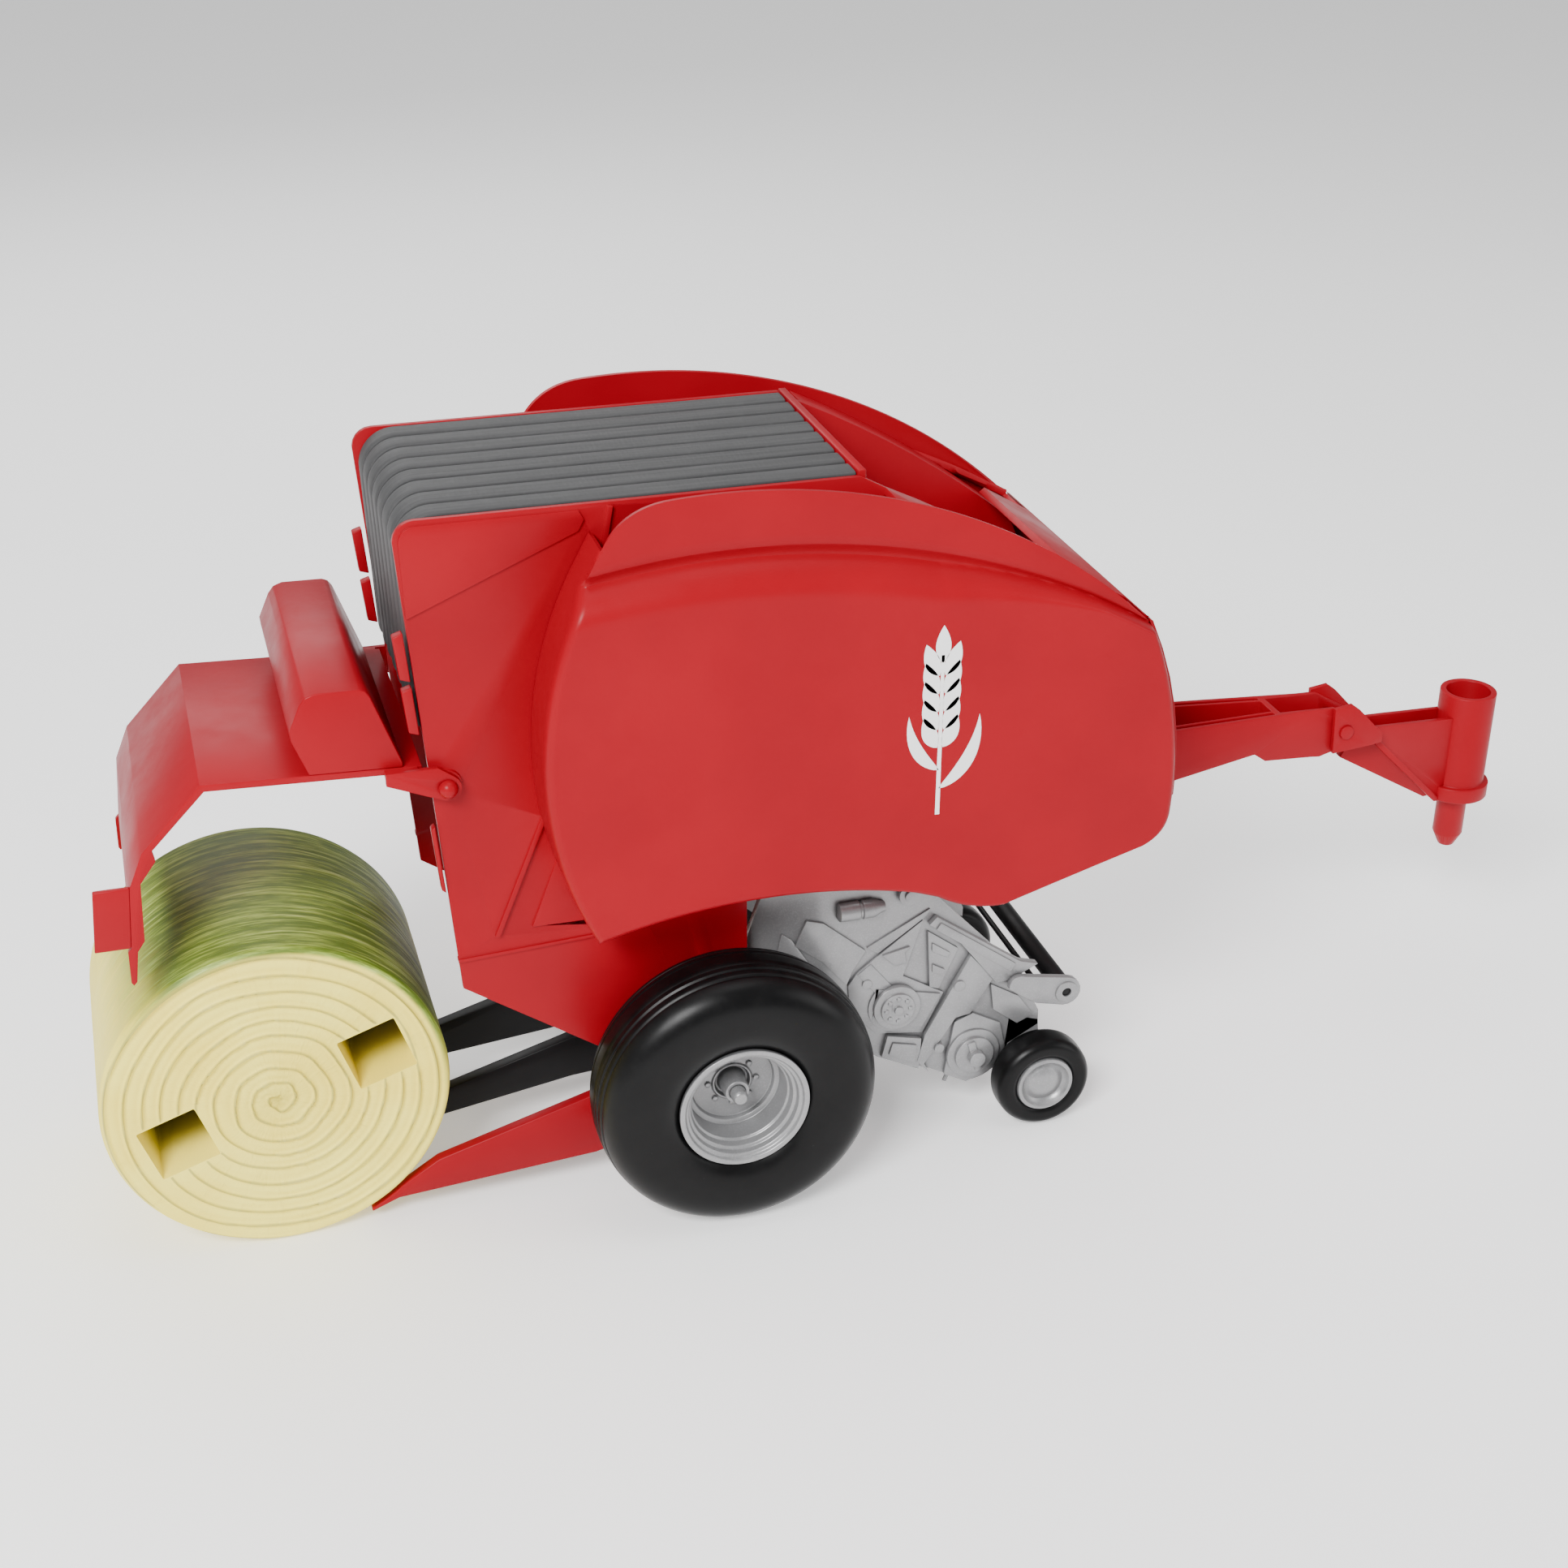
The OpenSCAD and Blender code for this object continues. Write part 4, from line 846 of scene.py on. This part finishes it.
# %% Straw finish
BALE_AT, BALE_R, BALE_HALF = (-110.2, 42.4), 42.4, 31.9
SPIRAL_PITCH, GROOVE_DEPTH = 4.3, 0.9


def straw_finish():
    """Yellow straw; the net-wrapped round side turns olive green towards its top."""
    paint = Paint("straw")
    centred = paint.add("ShaderNodeMapping", {}, {
        "Vector": paint.place,
        "Location": (-AXLE_X - BALE_AT[0] * MM, 0, -BALE_AT[1] * MM)})
    parts = paint.add("ShaderNodeSeparateXYZ", {}, {0: centred})
    x, y, z = (Wire(paint, parts.socket.node.outputs[i]) for i in range(3))
    radius = (x * x + z * z) ** 0.5
    angle = x.maths("ARCTAN2", z, x)
    broad = paint.noise(30, 3, 0.6)
    fibre_at = paint.add("ShaderNodeCombineXYZ", {}, {0: angle * 2.2, 1: y * 900, 2: radius * 60})
    wraps = paint.noise(1.0, 4, 0.7, fibre_at)
    crease_at = paint.add("ShaderNodeCombineXYZ", {}, {0: angle * 26, 1: radius * 160, 2: y * 20})
    creases = paint.noise(1.0, 3, 0.6, crease_at)
    on_side = radius.ramp(0.0398, 0.0412)
    tone = paint.mix(broad.ramp(0.3, 0.7), (0.90, 0.73, 0.095), (0.97, 0.84, 0.15))
    tone = paint.mix(creases.ramp(0.55, 0.85) * 0.35, tone, (0.66, 0.54, 0.12))
    # painted shade: the straw is darkened in the spiral groove, by how deep each point lies in it
    groove = paint.add("ShaderNodeAttribute", {"attribute_name": "groove"}, {}, "Fac")
    tone = paint.mix(groove.ramp(0.25, 0.95) * 0.75, tone, (0.36, 0.32, 0.08))
    # painted shade: the inside of each fork hole turns dark olive with depth from the face
    depth = BALE_HALF * MM - y.maths("ABSOLUTE", y)
    tunnel_shade = depth.ramp(0.003, 0.026) * (1 - radius.ramp(0.0385, 0.0395))
    tone = paint.mix(tunnel_shade * 0.85, tone, (0.07, 0.072, 0.012))
    height = z + x * 0.35 + (wraps - 0.5) * 0.018 + (broad - 0.5) * 0.02
    green = height.ramp(0.004, 0.03) * on_side
    olive = paint.mix(wraps.ramp(0.42, 0.66), (0.045, 0.115, 0.006), (0.30, 0.42, 0.07))
    tone = paint.mix(green * 0.94, tone, olive)
    tone = paint.mix(on_side * wraps.ramp(0.58, 0.72) * 0.22, tone, (0.85, 0.85, 0.5))
    relief = paint.mix(on_side, creases, wraps)
    return paint.finish(Base_Color=tone, Specular_IOR_Level=0.3, Roughness=wraps * 0.15 + 0.42,
                        Normal=paint.bump(relief, 2.4e-4))


STRAW = straw_finish()
print("straw finish:", STRAW.name)


# %% The bale's skin
def wander(*place, scale=1.0):
    return noise.noise(Vector(place) * scale)


def spiral_depth(r, a):
    """Depth of the winding groove at radius r and angle a."""
    r += 0.9 * wander(r * 0.12, math.cos(a) * 1.6, math.sin(a) * 1.6)
    phase = r / SPIRAL_PITCH - a / (2 * math.pi)
    nearest = abs(phase - round(phase)) * SPIRAL_PITCH
    middle = min(1, r / 2.5)
    swell_between = 0.16 * math.cos(2 * math.pi * phase)
    return -middle * (GROOVE_DEPTH * math.exp(-(nearest / 0.3) ** 2) + swell_between)


def net_depth(y, a):
    """Depth of the wrapping lines on the round side."""
    line = y / 1.25 + 0.6 * wander(math.cos(a) * 1.4, math.sin(a) * 1.4, y * 0.05)
    return -0.16 * (0.5 + 0.5 * math.cos(2 * math.pi * line)) * (0.6 + wander(y * 0.6, a, 3.0))


FORK_HOLE, FORK_OFFSET, FORK_TILT = 15.0, 26.0, math.radians(19)


def off_hole(r, a):
    """0 at the mouth of a fork hole and 1 from two millimetres away, so its rim stays clean."""
    along, across = r * math.cos(a - FORK_TILT), r * math.sin(a - FORK_TILT)
    gap = max(abs(abs(along) - FORK_OFFSET), abs(across)) - FORK_HOLE / 2
    return max(0, min(1, (gap - 0.7) / 1.3))


def bale_profile(face_steps=120, corner=1.5, side_steps=96):
    """(radius, y, how much it faces outwards along the radius) from one middle to the other."""
    flat = BALE_R - 0.35 - corner
    face = [(flat * i / face_steps, -BALE_HALF, 0.0) for i in range(face_steps)]
    turn_in = [(flat + corner * math.sin(t), -BALE_HALF + corner * (1 - math.cos(t)), math.sin(t))
               for t in (math.pi / 2 * k / 5 for k in range(6))]
    half = BALE_HALF - corner
    side = [(flat + corner, -half + 2 * half * i / side_steps, 1.0)
            for i in range(1, side_steps)]
    near = face + turn_in
    return near + side + [(r, -y, w) for r, y, w in reversed(near)]


def bale_skin(angles=184):
    profile = bale_profile()
    points, faces, n = [], [], len(profile)
    for i in range(angles):
        a = 2 * math.pi * i / angles
        lump = 0.3 * wander(math.cos(a) * 2, math.sin(a) * 2, 5.0)
        for r, y, w in profile:
            out = w * (net_depth(y, a) + lump * 0.8)
            along_y = (1 - w) * off_hole(r, a) * (
                spiral_depth(r, a) + 0.15 * wander(r * 0.2, math.cos(a) * 3, y))
            out, along_y = (out, along_y) if r > 0 else (0, 0)
            points.append((BALE_AT[0] + (r + out) * math.cos(a), y + math.copysign(along_y, y),
                           BALE_AT[1] + (r + out) * math.sin(a)))
    for i in range(angles):
        j = (i + 1) % angles
        faces += [(i * n + k, i * n + k + 1, j * n + k + 1, j * n + k) for k in range(n - 1)]
    piece = build("straw_bale", points, faces)
    # how deep each face point lies in the spiral groove; the straw finish uses it to paint shade
    # into the groove
    groove = piece.data.attributes.new("groove", "FLOAT", "POINT")
    for vertex in piece.data.vertices:
        x, y, z = (c / MM for c in vertex.co)
        dx, dz = x - AXLE_X / MM - BALE_AT[0], z - BALE_AT[1]
        r = math.hypot(dx, dz)
        on_face = abs(y) > BALE_HALF - 1.3 and r < BALE_R - 1
        share = -spiral_depth(r, math.atan2(dz, dx) % (2 * math.pi)) / GROOVE_DEPTH
        groove.data[vertex.index].value = max(0, min(1, share)) if on_face else 0
    return piece


def fork_cutter():
    half, reach = FORK_HOLE / 2, BALE_HALF + 3
    outline = rounded([(-half, -half), (half, -half), (half, half), (-half, half)], 0.5, 3)
    bars = []
    for side in (-1, 1):
        bars.append(([(BALE_AT[0] + (p[0] + side * FORK_OFFSET) * math.cos(FORK_TILT)
                       - p[1] * math.sin(FORK_TILT),
                       BALE_AT[1] + (p[0] + side * FORK_OFFSET) * math.sin(FORK_TILT)
                       + p[1] * math.cos(FORK_TILT)) for p in outline], -reach, reach))
    return prisms("fork_cutter", bars)


bale, cutter = bale_skin(), fork_cutter()
bpy.context.scene.collection.objects.link(cutter)
holes = bale.modifiers.new("fork_holes", "BOOLEAN")
holes.object, holes.operation, holes.solver = cutter, "DIFFERENCE", "EXACT"
settle(bale)
bpy.data.objects.remove(cutter)
show(bale, STRAW, "bale", 50)
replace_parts(bale, "bale_half_right", "bale_half_left")
print(bale.name, len(bale.data.polygons), "faces")


# %% [markdown]
# ## Pickup side plates
# The silver plates are crowded with cast-looking panels, ribs and bosses, all at slightly
# different heights. Each is an outline in side view with its own height, and one bevel over the
# lot gives every edge the same small radius.

# %% Outlines of the plate and of what stands on it
PLATE_IN, PLATE_OUT = 27.5, 29.5
REEL_AT, DRIVE_AT, PIVOT_AT = (71.5, 20.6), (49.1, 39.5), (30.0, 96.0)


def arc(centre, r, start, end, n=8):
    return [(centre[0] + r * math.cos(math.radians(start + (end - start) * i / n)),
             centre[1] + r * math.sin(math.radians(start + (end - start) * i / n)))
            for i in range(n + 1)]


def ring_of(centre, r, n=36):
    return arc(centre, r, 0, 360, n)[:-1]


PLATE = ([(7.4, 62), (13.5, 80), (25, 94)] + arc(PIVOT_AT, 5, 160, 10)
         + [(58, 72), (83, 45), (90.4, 30), (90.4, 25.6), (82, 21)]
         + arc(REEL_AT, 9.4, -20, -95) + [(59.8, 17), (44.8, 23.5), (30, 36), (14, 50)])
BRACKET = [(82, 30), (90.4, 27), (91.6, 13.2), (89, 10.6), (86.4, 13.2), (81, 20)]
RAISED = [
    ([(21.5, 62), (24.5, 69), (29, 67.5), (40.5, 57.5), (37, 52), (35.5, 48), (29, 56)], 0.8),
    ([(16, 57), (18, 66), (20.5, 64), (26, 55), (33, 47.5), (30, 44)], 0.5),
    ([(58, 67), (57, 65), (44, 56), (41, 58)], 0.5),
    ([(56, 64), (45, 56), (38.5, 51), (36, 47.5), (36.5, 40), (44, 31.5), (47, 31),
      (57, 29.5), (62.5, 41), (51, 48)], 0.7),
    ([(43.5, 45.5)] + arc(DRIVE_AT, 7.6, 130, 290, 14) + [(56.5, 31.6), (61.5, 41)], 1.3),
    ([(57.5, 60.5), (66, 54), (61, 42.5), (58.5, 43.5)], 0.9),
    ([(58.6, 57), (63.6, 53.4), (63, 52), (58.6, 54.6)], 1.5),
    ([(58.9, 50.5), (62.4, 48.4), (61.8, 46.8), (58.9, 48.2)], 1.5),
    ([(69.5, 51.5), (76, 43.5), (70, 33.5), (66, 33), (57.5, 20), (59, 17), (55.5, 21),
      (57.5, 29)], 1.6),
    ([(59.5, 65), (83.5, 47.5), (88.5, 46), (81.5, 42.5), (77, 42), (66, 56.5), (57.5, 63)], 1.9),
    ([(60.5, 63.3), (82, 47.4), (80.6, 45.4), (59.2, 61.6)], 2.5),
    ([(47, 30.5), (56.5, 28), (56, 18.5), (45.5, 24)], 1.5),
    ([(48.3, 28.4), (55, 26.6), (54.7, 21), (47.3, 25)], 2.2),
    ([(45, 55.5), (48.5, 52), (51.5, 52.5), (51, 55.5), (52.5, 57)], 1.4),
    ([(38.4, 50.6), (42, 53.2), (52, 40.4), (48.8, 37.6)], 1.1),
    ([(66, 31), (71, 33), (79, 28.5), (80.8, 21), (78, 14.5), (70, 11.4), (63.6, 15)], 0.9),
    ([(76, 41), (84, 36), (88.6, 29.4), (84, 27.4), (77, 33)], 0.7),
    (ring_of((52, 72.5), 2.9), 1.6), (ring_of((52, 72.5), 1.5), 2.4),
    (ring_of((30, 96), 3.4), 1.0), (ring_of((66.5, 43), 1.5), 2.2),
    (ring_of((41, 47.5), 1.3), 1.4), (ring_of((61.5, 24.4), 1.3), 2.3)]


def lathe_x(name, section, start, mirror, steps=40):
    """A small round part whose axis runs forward; section is (distance along, radius)."""
    points, faces, n = [], [], len(section)
    for i in range(steps):
        a = 2 * math.pi * i / steps
        points += [(start[0] + s, start[1] + r * math.cos(a), start[2] + r * math.sin(a))
                   for s, r in section]
    for i in range(steps):
        j = (i + 1) % steps
        faces += [(i * n + k, i * n + k + 1, j * n + k + 1, j * n + k) for k in range(n - 1)]
    faces += [tuple(i * n for i in range(steps)), tuple(i * n + n - 1 for i in range(steps))]
    return build(name, points, faces, mirror)


def bevelled(piece, width, segments=2, angle=30):
    bevel = piece.modifiers.new("edge", "BEVEL")
    bevel.width, bevel.segments = width * MM, segments
    bevel.limit_method, bevel.angle_limit = "ANGLE", math.radians(angle)
    return settle(piece)


for side in ("right", "left"):
    left = side == "left"
    stacked = [(PLATE, PLATE_IN, PLATE_OUT), (BRACKET, PLATE_IN, PLATE_OUT),
               (ring_of((GAUGE_X, GAUGE_R), 1.5, 24), PLATE_IN, GAUGE_FACE - 1.6)]
    stacked += [(outline, PLATE_OUT - 0.3, PLATE_OUT + height) for outline, height in RAISED]
    plate = bevelled(prisms("pickup_plate_" + side, stacked, left), 0.28)
    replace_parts(show(plate, SILVER, "pickup"), "pickup_side_" + side)
    damper = lathe_x("pickup_damper_" + side, [
        (0, 1.9), (0.4, 2.5), (5.5, 2.6), (5.8, 2.3), (6.3, 2.3), (6.6, 2.6), (9.6, 2.5),
        (11.6, 1.6), (12.6, 1.4)], (32.6, -PLATE_OUT - 0.9, 70.2), left)
    show(damper, SILVER, "pickup")
    print(plate.name, len(plate.data.polygons), damper.name)


# %% [markdown]
# ## Stripper bands
# Curved bands lie over the reel with the tines passing between them. One band is swept round
# the reel and the row tree sets nine of them side by side.

# %% One band, then nine
BAND_R, BAND_W, BAND_COUNT = 10.0, 2.6, 9
BAND_PITCH = (2 * PLATE_IN - 0.2 - BAND_W) / (BAND_COUNT - 1)


def stripper_band():
    back = REEL_AT[0] - 16.6
    outer = [(back, REEL_AT[1] + BAND_R + 1.2)] + arc(REEL_AT, BAND_R + 1.2, 90, -70, 26)
    inner = arc(REEL_AT, BAND_R, -70, 90, 26) + [(back, REEL_AT[1] + BAND_R)]
    return bevelled(prisms("band", [(outer + inner, -BAND_W / 2, BAND_W / 2)]), 0.25, 2, 50)


bands = repeated("stripper_bands", ROW, stripper_band(), SILVER, "pickup",
                 BAND_COUNT, (0, -BAND_PITCH * (BAND_COUNT - 1) / 2 * MM, 0),
                 (0, BAND_PITCH * MM, 0))
back, low = REEL_AT[0] - 16.6, REEL_AT[1] + 2
cross = bevelled(prisms("band_plate", [
    ([(back - 1.6, low), (back, low), (back, REEL_AT[1] + 15), (48.4, 47.4), (47, 46.6),
      (back - 1.6, REEL_AT[1] + 15)], -PLATE_IN + 0.1, PLATE_IN - 0.1)]), 0.3)
show(cross, SILVER, "pickup")
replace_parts(bands, "pickup_bands")
print(bands.name, len(bands.data.polygons), cross.name)


# %% [markdown]
# ## The rest of the moulded parts
# The CAD shapes of the black ramp arms, the silver shafts and caps and the guard are right as
# they are. Those in sight get softened edges. Those deep inside keep their mesh and only get
# their finish.

# %% Softened black and silver parts
soften_list = [
    ("chassis", BLACK, "black_plastic", 0.3, ["ramp_carrier", "ramp_arm_centre",
                                              "ramp_arm_left", "belt_bed"]),
    ("chassis", RED, "red_plastic", 0.12, ["gate_hinge_pins", "drawbar_pin"]),
    ("chassis", SILVER, "silver_plastic", 0.15, ["axle", "pickup_pivot_bar"]),
    ("pickup", SILVER, "silver_plastic", 0.18, [
        "pickup_cap_right", "pickup_cap_left", "pickup_drive_right", "pickup_drive_left",
        "pickup_cross_tube"]),
    ("reel", SILVER, "silver_plastic", 0.1, ["reel_shaft", "reel_tines"]),
    ("wind_guard", SILVER, "silver_plastic", 0.25, ["guard_arm_right", "guard_arm_left"]),
    ("wind_guard", BLACK, "black_plastic", 0.12, ["guard_rod"]),
    ("guard_roller_body", BLACK, "black_plastic", 0.25, ["guard_roller"]),
]
for body, material, slot, width, nodes in soften_list:
    for node in nodes:
        soften(node, material, body, width)
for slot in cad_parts["belt_roller"].material_slots:
    slot.material = BLACK
print("softened:", sum(len(row[4]) for row in soften_list))


# %% [markdown]
# ## Floor
# A pale sweep under everything, a little textured so that it is a surface and not a void.

# %% Pale floor
def floor_finish():
    paint = Paint("floor_pale")
    clouds = paint.noise(3, 3, 0.6)
    return paint.finish(
        Base_Color=paint.mix(clouds.ramp(0.3, 0.7), (0.90, 0.90, 0.90), (0.92, 0.92, 0.92)),
        Emission_Color=paint.mix(clouds.ramp(0.3, 0.7), (1, 1, 1), (0.98, 0.98, 0.98)),
        Emission_Strength=0.4,
        Roughness=clouds * 0.1 + 0.7, Normal=paint.bump(paint.noise(900, 2, 0.5), 5e-6))


mesh = bpy.data.meshes.new("floor")
mesh.from_pydata([(-6, -6, 0), (6, -6, 0), (6, 6, 0), (-6, 6, 0)], [], [(0, 1, 2, 3)])
floor = bpy.data.objects.new("floor", mesh)
floor.location.z = -0.0002
bpy.context.scene.collection.objects.link(floor)
mesh.materials.append(floor_finish())
print("floor at", floor.location.z)
